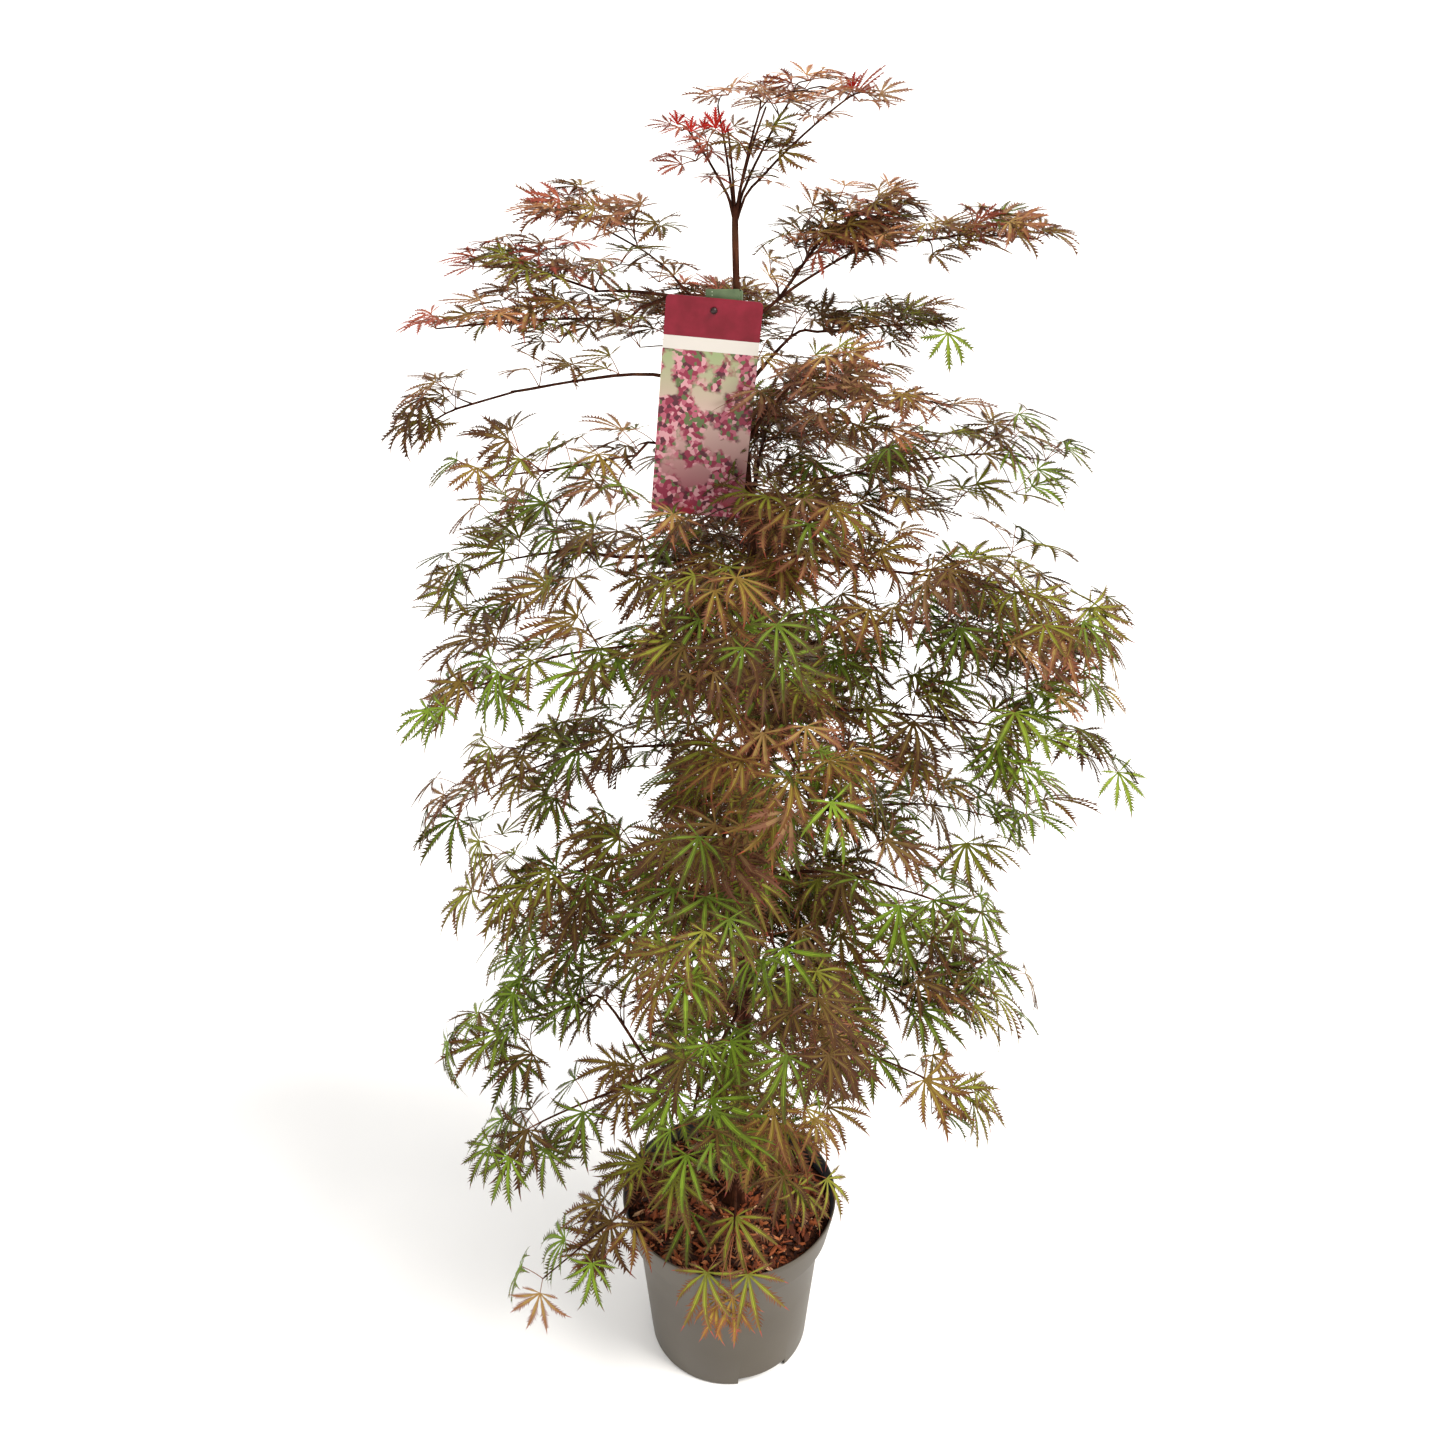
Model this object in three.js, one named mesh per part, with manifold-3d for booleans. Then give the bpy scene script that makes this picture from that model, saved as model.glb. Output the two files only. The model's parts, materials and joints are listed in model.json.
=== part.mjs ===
// A laceleaf Japanese maple in a nursery pot, in millimetres, +Z up.
// The origin is the middle of the pot's flat underside. -Y is the front and +X the right.
// Every solid keeps a small gap to its neighbours, so that none of them overlap.
import * as THREE from "three";
import { mergeVertices } from "three/addons/utils/BufferGeometryUtils.js";
import Module from "manifold-3d";

const wasm = await Module();
wasm.setup();

// Driving dimensions
const GAP = 0.4; // between a piece and what it is cut round
const RIM_RADIUS = 125;
const POT_HEIGHT = 222;
const COLLAR_HEIGHT = 43; // the wide band under the rim
const COLLAR_FOOT_RADIUS = 118;
const BODY_TOP_RADIUS = 109;
const BASE_RADIUS = 95;
const WALL = 2.2;
const FLOOR = 16; // thick enough to hold the drain notches
const SOIL_HEIGHT = 206;
const SOIL_GAP = 0.3;
const POT_SEGMENTS = 48;
const TRUNK_TOP = 1320; // the fork that carries the crown's top
const TRUNK_RADIUS = 9.5;
const TRUNK_TIP_RADIUS = 2.3;
const FLARE = 5.5; // added at the foot of the trunk
const STEM_RADIUS = 1.3;
const TIE_HEIGHT = 1249;
const STUD_HEIGHT = 1240; // where the tag hangs
const STUD_X = -15;
const STUD_RADIUS = 1.6;
const TAG_WIDTH = 80;
const TAG_HEIGHT = 187;
const TAG_THICKNESS = 0.9;
const TAG_LEAN = 5.2; // degrees, its foot hangs to the left

// Colours from the photograph
const COLOURS = {
  pot: 0x7c7266,
  soil: 0x4a2413,
  bark: 0x3a2a1e,
  tie: 0x4f6b45,
  tag: 0x9c2f42,
  bronze: 0x4b3524,
  olive: 0x4c4f22,
  green: 0x5d7526,
  red: 0x9a2f22,
};
const ROUGHNESS = { pot: 0.55, tag: 0.3, tie: 0.5 };

const part = new THREE.Group();
const keepOut = []; // swollen solids that later pieces are cut round
const { degToRad: radians, lerp, mapLinear, clamp } = THREE.MathUtils;

// Geometry with its shared vertices merged and only positions left
function welded(geometry) {
  const plain = geometry.clone();
  plain.deleteAttribute("normal");
  plain.deleteAttribute("uv");
  return mergeVertices(plain, 1e-4);
}

function toSolid(geometry) {
  const merged = welded(geometry);
  return new wasm.Manifold(
    new wasm.Mesh({
      numProp: 3,
      vertProperties: merged.attributes.position.array,
      triVerts: new Uint32Array(merged.index.array),
    }),
  );
}

function toGeometry(solid) {
  const mesh = solid.getMesh();
  return new THREE.BufferGeometry()
    .setAttribute("position", new THREE.BufferAttribute(mesh.vertProperties, 3))
    .setIndex(new THREE.BufferAttribute(mesh.triVerts, 1));
}

// The same geometry with its surface moved out by a distance
function swollen(geometry, distance) {
  const fat = welded(geometry);
  fat.computeVertexNormals();
  const position = fat.attributes.position;
  const normal = fat.attributes.normal;
  for (let i = 0; i < position.count; i++)
    position.setXYZ(
      i,
      position.getX(i) + distance * normal.getX(i),
      position.getY(i) + distance * normal.getY(i),
      position.getZ(i) + distance * normal.getZ(i),
    );
  return fat;
}

// The room a piece takes up with its gap: later pieces stay out of it
const cleared = (geometry) =>
  toSolid(swollen(geometry, GAP)).add(toSolid(geometry));

// Keeps the largest body of what is left once the keep-out solids are cut away
function carved(geometry) {
  let solid = toSolid(geometry);
  for (const other of keepOut) solid = solid.subtract(other);
  return solid
    .decompose()
    .reduce((best, body) => (body.volume() > best.volume() ? body : best));
}

function add(name, geometry, colour, { cut = true, guard = true } = {}) {
  const solid = cut ? carved(geometry) : toSolid(geometry);
  const material = new THREE.MeshStandardMaterial({
    color: COLOURS[colour],
    roughness: ROUGHNESS[colour] ?? 0.8,
    metalness: 0,
  });
  const mesh = new THREE.Mesh(toGeometry(solid), material);
  mesh.name = name;
  part.add(mesh);
  if (guard) keepOut.push(cleared(geometry));
}

const lathe = (points, segments) =>
  new THREE.LatheGeometry(
    points.map(([radius, height]) => new THREE.Vector2(radius, height)),
    segments,
  ).rotateX(Math.PI / 2);

const SHOULDER = POT_HEIGHT - COLLAR_HEIGHT;
const INSIDE_WALL = [
  [BASE_RADIUS - WALL, FLOOR],
  [BODY_TOP_RADIUS - WALL, SHOULDER],
  [COLLAR_FOOT_RADIUS - WALL, SHOULDER + WALL],
  [RIM_RADIUS - WALL, POT_HEIGHT],
];

// Pot: a tapering body, a step out to a flared collar, and three drain notches round the foot
function makePot() {
  const FOOT_BEVEL = 3;
  const RIM_BEVEL = 1;
  const outside = [
    [0, 0],
    [BASE_RADIUS - FOOT_BEVEL, 0],
    [BASE_RADIUS, FOOT_BEVEL],
    [BODY_TOP_RADIUS, SHOULDER],
    [COLLAR_FOOT_RADIUS, SHOULDER],
    [RIM_RADIUS, POT_HEIGHT - RIM_BEVEL],
    [RIM_RADIUS - RIM_BEVEL, POT_HEIGHT],
  ];
  const inside = [...INSIDE_WALL].reverse();
  let pot = toSolid(
    lathe([...outside, ...inside, [0, FLOOR], [0, 0]], POT_SEGMENTS),
  );
  const NOTCH_HEIGHT = 12;
  const NOTCH_WIDTH = 62;
  const NOTCH_DEPTH = 15;
  const FIRST_NOTCH = -64.5; // degrees, where the photograph shows one
  const NOTCHES = 3;
  for (let i = 0; i < NOTCHES; i++) {
    const notch = new THREE.BoxGeometry(2 * NOTCH_DEPTH, NOTCH_WIDTH, 2 * NOTCH_HEIGHT)
      .translate(BASE_RADIUS, 0, 0)
      .rotateZ(radians(FIRST_NOTCH + (i * 360) / NOTCHES));
    pot = pot.subtract(toSolid(notch));
  }
  add("pot", toGeometry(pot), "pot", { cut: false, guard: false });
  const filled = lathe([...outside, [0, POT_HEIGHT], [0, 0]], POT_SEGMENTS);
  keepOut.push(cleared(filled));
}

// Soil: fills the pot, flat where the trunk stands and lumpy towards the rim
function makeSoil() {
  const INSET = 0.9;
  const EDGE = { inset: 3, drop: 6 };
  const TOP = [[92, 2], [62, 1], [24, 0], [0, 0]]; // radius and drop
  const LEVEL = { radius: 40, drop: 3 }; // no lumps nearer the trunk or lower than this
  const LUMPS = [{ size: 1.6, x: 9, y: 11 }, { size: 1, both: 17 }];
  const [, , ledge, rim] = INSIDE_WALL;
  const wall = mapLinear(SOIL_HEIGHT, ledge[1], rim[1], ledge[0], rim[0]);
  const profile = [
    [0, FLOOR + SOIL_GAP],
    ...INSIDE_WALL.slice(0, 3).map(([r, z]) => [r - INSET, z + SOIL_GAP]),
    [wall - EDGE.inset, SOIL_HEIGHT - EDGE.drop],
    ...TOP.map(([radius, drop]) => [radius, SOIL_HEIGHT - drop]),
  ];
  const soil = lathe(profile, POT_SEGMENTS / 2);
  const position = soil.attributes.position;
  for (let i = 0; i < position.count; i++) {
    const [x, y, z] = [position.getX(i), position.getY(i), position.getZ(i)];
    const [small, broad] = LUMPS;
    const lumps =
      small.size * Math.sin(x / small.x) * Math.cos(y / small.y) +
      broad.size * Math.sin((x + y) / broad.both);
    const uneven = z > SOIL_HEIGHT - LEVEL.drop && Math.hypot(x, y) > LEVEL.radius;
    if (uneven) position.setZ(i, z + lumps);
  }
  add("soil", soil, "soil", { cut: false, guard: false });
}

// Frame along a curve: the point, a level sideways direction, and the direction square to both
function frameAt(curve, t) {
  const point = curve.getPoint(t);
  const along = curve.getTangent(t);
  const side = new THREE.Vector3().crossVectors(
    along,
    new THREE.Vector3(0, 0, 1),
  );
  if (side.length() < 0.2) side.set(1, 0, 0);
  side.normalize();
  const over = new THREE.Vector3().crossVectors(side, along).normalize();
  side.crossVectors(along, over).normalize();
  return { point, side, over };
}

// A tapering limb: a cylinder bent along a curve, with its radius worked out along the way
function limb(points, radiusAt, { sides = 6, rings = 6 } = {}) {
  const curve = new THREE.CatmullRomCurve3(
    points.map((p) => new THREE.Vector3(...p)),
  );
  const geometry = welded(
    new THREE.CylinderGeometry(1, 1, 1, sides, rings, false),
  );
  const position = geometry.attributes.position;
  for (let i = 0; i < position.count; i++) {
    const t = clamp(position.getY(i) + 0.5, 0, 1);
    const { point, side, over } = frameAt(curve, t);
    const radius = radiusAt(t);
    point.addScaledVector(side, radius * position.getX(i));
    point.addScaledVector(over, -radius * position.getZ(i));
    position.setXYZ(i, point.x, point.y, point.z);
  }
  return facingOut(geometry);
}

// Turns the faces round if they point inwards
function facingOut(geometry) {
  if (toSolid(geometry).volume() > 0) return geometry;
  const index = geometry.index;
  for (let i = 0; i < index.count; i += 3) {
    const second = index.getX(i + 1);
    index.setX(i + 1, index.getX(i + 2));
    index.setX(i + 2, second);
  }
  return geometry;
}

// Trunk: a flat cut on the soil with a root flare, a slow sway, and a thin leader up to the fork
const TRUNK_LINE = [
  [9, 0, SOIL_HEIGHT + SOIL_GAP],
  [9, 0, SOIL_HEIGHT + 30],
  [13, 2, 400],
  [17, 4, 620],
  [22, 0, 850],
  [19, -3, 1020],
  [6, 0, 1190],
  [2, 0, TRUNK_TOP - 20],
  [2, 0, TRUNK_TOP],
];

function makeTrunk() {
  const FLARE_LENGTH = 0.02; // as a share of the trunk
  const radiusAt = (t) =>
    lerp(TRUNK_RADIUS, TRUNK_TIP_RADIUS, t) + FLARE * Math.exp(-t / FLARE_LENGTH);
  const trunk = limb(TRUNK_LINE, radiusAt, { sides: 8, rings: 26 });
  add("trunk", trunk, "bark", { cut: false });
}

// The point of the trunk's axis at a height
function trunkAt(height) {
  const above = Math.max(
    1,
    TRUNK_LINE.findIndex(([, , z]) => z >= height),
  );
  const [low, high] = [TRUNK_LINE[above - 1], TRUNK_LINE[above]];
  const share = (height - low[2]) / (high[2] - low[2]);
  return [lerp(low[0], high[0], share), lerp(low[1], high[1], share)];
}

// Main boughs: points along each, from inside the trunk to where it enters its foliage
const BOUGHS = [
  {
    name: "bough_left_upper",
    points: [[6, 0, 1220], [-20, 0, 1242], [-75, -6, 1254], [-112, -12, 1256]],
    radii: [2.4, 1.6],
  },
  {
    name: "bough_left_riser",
    points: [[-34, -1, 1247], [-52, 10, 1268], [-80, 22, 1286]],
    radii: [1.7, 1.2],
  },
  {
    name: "bough_left_arm",
    points: [[9, 0, 1150], [-30, 4, 1176], [-80, 6, 1184], [-190, 12, 1166]],
    radii: [2.2, 1.4],
  },
  {
    name: "bough_left_middle",
    points: [[20, 0, 985], [-18, 4, 1006], [-70, 20, 1012], [-110, 36, 1004]],
    radii: [3.0, 2.0],
  },
  {
    name: "bough_left_lower",
    points: [[13, 2, 420], [-30, -14, 446], [-90, -46, 452]],
    radii: [3.2, 2.1],
  },
  {
    name: "bough_right_upper",
    points: [[6, 0, 1220], [34, 0, 1244], [66, 2, 1266], [100, 8, 1284]],
    radii: [2.4, 1.6],
  },
  {
    name: "bough_right_arm",
    points: [[21, 0, 900], [70, 6, 928], [120, 14, 942], [160, 22, 948]],
    radii: [3.0, 2.0],
  },
];

function makeBoughs() {
  for (const { name, points, radii } of BOUGHS) {
    const radiusAt = (t) => lerp(radii[0], radii[1], t);
    const rings = 2 * (points.length - 1);
    add(name, limb(points, radiusAt, { rings }), "bark");
  }
}

// Thin stems that spread from the fork like the ribs of a parasol
const STEM_TIPS = [
  { name: "stem_far_left", tip: [-36, -8, 1378] },
  { name: "stem_left", tip: [-12, 22, 1392] },
  { name: "stem_middle", tip: [22, -22, 1398] },
  { name: "stem_right", tip: [48, 20, 1400] },
  { name: "stem_far_right", tip: [92, -2, 1402] },
];

function makeStems() {
  const SPREAD = 2.6; // radius of the ring that the stems start from
  const BEND = { out: 0.42, up: 0.5 }; // shares of the way at the middle point
  const TAPER = 0.3;
  const [x, y] = TRUNK_LINE.at(-1);
  for (const { name, tip } of STEM_TIPS) {
    const heading = Math.atan2(tip[1] - y, tip[0] - x);
    const foot = [
      x + SPREAD * Math.cos(heading),
      y + SPREAD * Math.sin(heading),
      TRUNK_TOP + GAP,
    ];
    const middle = [
      lerp(foot[0], tip[0], BEND.out),
      lerp(foot[1], tip[1], BEND.out),
      lerp(foot[2], tip[2], BEND.up),
    ];
    const radiusAt = (t) => STEM_RADIUS - TAPER * t;
    const stem = limb([foot, middle, tip], radiusAt, { sides: 5, rings: 3 });
    add(name, stem, "bark");
  }
}

// Tie strap: a snug green band with a broad tab in front, and a stud on it that the tag hangs on
const TAB_FRONT = -6;
const TAG_Y = -10;

function makeTie() {
  const BAND = { x: 3.8, y: 0, z: TIE_HEIGHT, inner: 3.4, outer: 5.2, half: 5 };
  const TAB = { width: 28, thickness: 2, height: 26, x: -8, z: 1243 };
  const STUD_LENGTH = 7;
  const STUD_SUNK = 1; // how far it reaches into the tab
  const band = lathe(
    [
      [BAND.inner, -BAND.half],
      [BAND.outer, -BAND.half],
      [BAND.outer, BAND.half],
      [BAND.inner, BAND.half],
      [BAND.inner, -BAND.half],
    ],
    20,
  ).translate(BAND.x, BAND.y, BAND.z);
  const tab = new THREE.BoxGeometry(TAB.width, TAB.thickness, TAB.height);
  tab.translate(TAB.x, TAB_FRONT + TAB.thickness / 2, TAB.z);
  const stud = new THREE.CylinderGeometry(STUD_RADIUS, STUD_RADIUS, STUD_LENGTH, 12);
  stud.translate(STUD_X, TAB_FRONT + STUD_SUNK - STUD_LENGTH / 2, STUD_HEIGHT);
  const tie = toSolid(band).add(toSolid(tab)).add(toSolid(stud));
  add("tie", toGeometry(tie), "tie");
}

// Tag: a plain card with round corners and a hole that the stud passes through
function makeTag() {
  const CORNER = 4;
  const HOLE_RADIUS = STUD_RADIUS + 0.5;
  const HOLE_DROP = 10; // from the top edge to the hole
  const ROOM = { x: TAG_WIDTH + 20, y: 8, z: TAG_HEIGHT + 8 }; // kept free of leaves
  const FOOT_SHIFT = -8; // the leaning card's middle lies left of its stud
  const [w, h] = [TAG_WIDTH / 2, TAG_HEIGHT];
  const card = new THREE.Shape();
  card.absarc(w - CORNER, -CORNER, CORNER, Math.PI / 2, 0, true);
  card.absarc(w - CORNER, CORNER - h, CORNER, 0, -Math.PI / 2, true);
  card.absarc(CORNER - w, CORNER - h, CORNER, -Math.PI / 2, -Math.PI, true);
  card.absarc(CORNER - w, -CORNER, CORNER, Math.PI, Math.PI / 2, true);
  card.closePath();
  const hole = new THREE.Path();
  hole.absarc(0, -HOLE_DROP, HOLE_RADIUS, 0, 2 * Math.PI);
  card.holes.push(hole);
  const tag = new THREE.ExtrudeGeometry(card, {
    depth: TAG_THICKNESS,
    bevelEnabled: false,
    curveSegments: 5,
  });
  tag
    .translate(0, HOLE_DROP, 0)
    .rotateZ(radians(-TAG_LEAN))
    .rotateX(Math.PI / 2)
    .translate(STUD_X, TAG_Y, STUD_HEIGHT);
  add("tag", tag, "tag", { cut: false, guard: false });
  const room = new THREE.BoxGeometry(ROOM.x, ROOM.y, ROOM.z);
  room.translate(STUD_X + FOOT_SHIFT, TAG_Y, STUD_HEIGHT + HOLE_DROP - TAG_HEIGHT / 2);
  keepOut.push(toSolid(room));
}

// Foliage: each spray is a leaf-shaped pad on an arched line from near the trunk to its furthest tip.
// heading is in degrees anticlockwise from +X, seen from above. from and reach are distances from the
// trunk's axis, and from is 0 where it is left out. start and tip are heights, half holds the half width
// and the half thickness, and arch is how far the middle of the line rises above its chord.
const SPRAYS = [
  { name: "crown_top", heading: 0, from: -34, reach: 122, start: 1396, tip: 1410, half: [62, 13], arch: 6 },
  {
    name: "crown_left_red", heading: 190, from: -16, reach: 60,
    start: 1372, tip: 1360, half: [36, 15], arch: 4,
  },
  { name: "crown_inner", heading: 12, from: 8, reach: 64, start: 1352, tip: 1366, half: [26, 13], arch: 3 },

  { name: "left_top", heading: 165, from: 44, reach: 188, start: 1284, tip: 1304, half: [58, 24], arch: 8 },
  { name: "left_upper", heading: 187, from: 56, reach: 230, start: 1262, tip: 1272, half: [60, 20], arch: 5 },
  { name: "left_wing", heading: 200, from: 30, reach: 274, start: 1226, tip: 1240, half: [62, 22], arch: 4 },
  {
    name: "left_streamer", heading: 176, from: 170, reach: 318,
    start: 1172, tip: 1092, half: [36, 16], arch: 16,
  },
  { name: "left_high", heading: 202, reach: 268, start: 1106, tip: 1112, half: [88, 34], arch: 14 },
  {
    name: "left_middle", heading: 162, from: 60, reach: 350,
    start: 1010, tip: 915, half: [98, 38], arch: 30,
  },
  { name: "left_shoulder", heading: 196, reach: 330, start: 925, tip: 868, half: [108, 42], arch: 42 },
  { name: "left_low", heading: 169, reach: 366, start: 806, tip: 650, half: [100, 42], arch: 58 },
  { name: "left_hip", heading: 204, reach: 318, start: 690, tip: 690, half: [94, 40], arch: 26 },
  { name: "left_skirt", heading: 160, reach: 326, start: 580, tip: 440, half: [92, 40], arch: 44 },
  { name: "left_lobe", heading: 186, from: 20, reach: 348, start: 508, tip: 430, half: [60, 34], arch: 40 },
  { name: "left_foot", heading: 206, from: 40, reach: 322, start: 440, tip: 386, half: [76, 36], arch: 20 },
  { name: "left_trailer", heading: 216, reach: 314, start: 330, tip: 206, half: [58, 32], arch: 26 },

  { name: "right_top", heading: 22, from: 20, reach: 168, start: 1256, tip: 1310, half: [66, 28], arch: 10 },
  { name: "right_wing", heading: -5, from: 96, reach: 270, start: 1284, tip: 1292, half: [50, 20], arch: 6 },
  { name: "right_upper", heading: 14, reach: 196, start: 1204, tip: 1208, half: [78, 26], arch: 8 },
  { name: "right_bronze", heading: -40, reach: 192, start: 1156, tip: 1172, half: [78, 36], arch: 16 },
  { name: "right_high", heading: 10, reach: 308, start: 1066, tip: 1080, half: [100, 38], arch: 18 },
  { name: "right_middle", heading: -18, reach: 332, start: 1002, tip: 976, half: [98, 40], arch: 30 },
  {
    name: "right_shoulder", heading: 10, from: 90, reach: 380,
    start: 926, tip: 846, half: [98, 40], arch: 34,
  },
  { name: "right_low", heading: -12, reach: 376, start: 846, tip: 800, half: [104, 42], arch: 44 },
  { name: "right_hip", heading: 24, reach: 350, start: 716, tip: 610, half: [94, 40], arch: 44 },
  { name: "right_skirt", heading: -28, reach: 276, start: 656, tip: 690, half: [90, 42], arch: 22 },
  { name: "right_base", heading: 8, reach: 338, start: 530, tip: 448, half: [94, 42], arch: 44 },
  { name: "right_trailer", heading: -20, reach: 292, start: 468, tip: 404, half: [68, 36], arch: 34 },

  { name: "front_top", heading: -64, reach: 160, start: 1040, tip: 1084, half: [62, 30], arch: 16 },
  { name: "front_high", heading: -104, reach: 250, start: 1018, tip: 976, half: [98, 40], arch: 22 },
  { name: "front_middle", heading: -78, reach: 280, start: 900, tip: 846, half: [104, 44], arch: 34 },
  { name: "front_belly", heading: -106, reach: 290, start: 776, tip: 716, half: [106, 44], arch: 36 },
  { name: "front_low", heading: -76, reach: 284, start: 652, tip: 590, half: [104, 44], arch: 36 },
  { name: "front_skirt", heading: -104, reach: 262, start: 530, tip: 470, half: [98, 42], arch: 34 },
  { name: "front_foot", heading: -70, reach: 220, start: 412, tip: 362, half: [82, 36], arch: 26 },
  { name: "front_apron", heading: -92, reach: 186, start: 290, tip: 244, half: [94, 30], arch: 24 },

  { name: "back_top", heading: 98, reach: 190, start: 1196, tip: 1190, half: [88, 28], arch: 12 },
  { name: "back_high", heading: 78, reach: 262, start: 1096, tip: 1040, half: [102, 40], arch: 28 },
  { name: "back_middle", heading: 102, reach: 296, start: 968, tip: 896, half: [108, 44], arch: 36 },
  { name: "back_belly", heading: 78, reach: 312, start: 826, tip: 744, half: [108, 44], arch: 40 },
  { name: "back_low", heading: 100, reach: 304, start: 684, tip: 596, half: [106, 44], arch: 40 },
  { name: "back_skirt", heading: 80, reach: 284, start: 540, tip: 452, half: [100, 42], arch: 38 },
  { name: "back_foot", heading: 98, reach: 232, start: 400, tip: 322, half: [92, 38], arch: 28 },
];

// The crown is bronze above and turns greener downwards, and its youngest tips are red
const TINTS = [["bronze", 1000], ["olive", 600], ["green", 0]];
const tintOf = ({ name, start }) =>
  name.endsWith("red") ? "red" : TINTS.find(([, floor]) => start >= floor)[0];

// Waves round each pad: their size, their number, their twist along it and their step between pads
const LOBES = [
  { size: 0.13, count: 2, twist: 5, step: 1.7 },
  { size: 0.1, count: 3, twist: -7, step: 2.3 },
];

// Width of a pad along its line: nothing at both ends, and fullest past the middle
const fullness = (t) => Math.sin(Math.PI * t ** 1.25) ** 0.7;

// One spray's pad: a sphere drawn out along the arched line, with uneven lobes
function pad({ heading, from = 0, reach, start, tip, half, arch }, seed) {
  const POLE = 0.001; // the sphere's two poles close the pad's ends
  const [x, y] = trunkAt(Math.min(start, TRUNK_TOP));
  const turn = radians(heading);
  const place = (distance, height) =>
    new THREE.Vector3(
      x + distance * Math.cos(turn),
      y + distance * Math.sin(turn),
      height,
    );
  const line = new THREE.QuadraticBezierCurve3(
    place(from, start),
    place((from + reach) / 2, (start + tip) / 2 + 2 * arch),
    place(reach, tip),
  );
  const geometry = welded(new THREE.SphereGeometry(1, 7, 6));
  const position = geometry.attributes.position;
  for (let i = 0; i < position.count; i++) {
    const latitude = Math.asin(clamp(position.getY(i), -1, 1));
    const t = 0.5 + latitude / Math.PI;
    const around = Math.atan2(position.getZ(i), position.getX(i));
    let size = t > POLE && t < 1 - POLE ? fullness(t) : 0;
    for (const { size: height, count, twist, step } of LOBES)
      size *= 1 + height * Math.sin(count * around + twist * t + step * seed);
    const { point, side, over } = frameAt(line, t);
    point.addScaledVector(side, half[0] * size * Math.cos(around));
    point.addScaledVector(over, half[1] * size * Math.sin(around));
    position.setXYZ(i, point.x, point.y, point.z);
  }
  return facingOut(geometry);
}

function makeFoliage() {
  SPRAYS.forEach((spray, seed) => add(spray.name, pad(spray, seed), tintOf(spray)));
}

makePot();
makeSoil();
makeTrunk();
makeTie();
makeTag();
makeBoughs();
makeStems();
makeFoliage();

export default part;
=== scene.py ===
"""A laceleaf Japanese maple in a nursery pot: bark, twigs, cut leaves, bark mulch, pot, tie and tag.

Lengths are in metres in the part's own frame: +Z up, -Y the front, the origin under the middle of the pot.
Every mass of foliage is measured from the frame, and a bough, twigs and leaves grow inside it.
"""
import json
import math

import bmesh
import bpy
import numpy as np
from mathutils import Euler, Matrix, Vector
from mathutils.bvhtree import BVHTree


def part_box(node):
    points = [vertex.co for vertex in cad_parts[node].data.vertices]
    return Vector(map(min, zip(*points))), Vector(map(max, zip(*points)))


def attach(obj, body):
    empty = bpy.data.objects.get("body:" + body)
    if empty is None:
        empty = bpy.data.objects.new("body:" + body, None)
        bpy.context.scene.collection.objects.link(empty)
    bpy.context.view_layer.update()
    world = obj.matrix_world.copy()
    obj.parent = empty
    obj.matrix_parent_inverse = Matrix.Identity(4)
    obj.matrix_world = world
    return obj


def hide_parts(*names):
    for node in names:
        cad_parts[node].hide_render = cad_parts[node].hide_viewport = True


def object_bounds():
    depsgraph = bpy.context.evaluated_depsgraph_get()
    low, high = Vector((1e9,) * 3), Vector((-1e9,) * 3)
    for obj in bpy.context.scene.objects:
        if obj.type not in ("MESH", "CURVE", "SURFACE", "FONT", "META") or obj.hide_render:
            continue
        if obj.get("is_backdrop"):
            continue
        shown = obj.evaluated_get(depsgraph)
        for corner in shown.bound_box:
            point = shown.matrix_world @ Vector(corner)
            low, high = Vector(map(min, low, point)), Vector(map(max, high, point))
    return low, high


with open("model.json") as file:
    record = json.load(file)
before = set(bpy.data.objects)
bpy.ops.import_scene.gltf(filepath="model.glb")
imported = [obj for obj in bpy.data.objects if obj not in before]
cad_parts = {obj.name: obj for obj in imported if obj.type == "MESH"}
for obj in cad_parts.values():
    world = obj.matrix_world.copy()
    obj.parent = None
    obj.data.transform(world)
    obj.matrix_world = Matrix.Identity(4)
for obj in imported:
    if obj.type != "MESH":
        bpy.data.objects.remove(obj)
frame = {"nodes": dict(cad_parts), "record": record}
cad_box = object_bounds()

SEED = 23
UP = np.array([0.0, 0.0, 1.0])

# Camera of the photograph
CAMERA_PLACE = (-0.008, -1.180, 1.495)
CAMERA_PITCH = 28.7  # degrees below level
SENSOR = 36.0
LENS = 34.88

# Pot and soil, as real sizes
POT_HEIGHT = 0.222
RIM_RADIUS = 0.125
COLLAR_FOOT = (0.118, 0.179)  # radius and height
BODY_TOP = (0.109, 0.179)
BASE_RADIUS = 0.095
POT_WALL = 0.0022
POT_FLOOR = 0.016
SOIL_HEIGHT = 0.206
TAG_LEAN = 5.2  # degrees, the foot hangs to the left
TAG_HEIGHT = 0.187
NOTCH = {"height": 0.012, "width": 0.062, "depth": 0.015, "first": -64.5, "count": 3}

# How the plant changes with height: lengths in metres, angles in degrees
HEIGHTS = [0.20, 0.60, 0.95, 1.12, 1.20, 1.42]
LEAF_LENGTH = [0.068, 0.065, 0.059, 0.047, 0.038, 0.034]  # of the middle lobe
LEAF_STALK = [0.028, 0.027, 0.025, 0.022, 0.018, 0.012]
STALK_RISE = [18, 18, 22, 34, 42, 35]
LEAF_HANG = [34, 31, 25, 18, 7, 5]  # how steeply a leaf points down
HANG_SPREAD = [22, 22, 20, 15, 9, 7]  # and how much that varies
SPRAY_GAP = [0.074, 0.073, 0.066, 0.051, 0.038, 0.030]  # between the ends of two twigs
SPRAY_DEPTH = [0.016, 0.034, 0.034, 0.016, 0.006, 0]  # how far sprays reach over and under their mass
PAIR_GAP = [0.055, 0.054, 0.049, 0.038, 0.028, 0.023]
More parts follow.
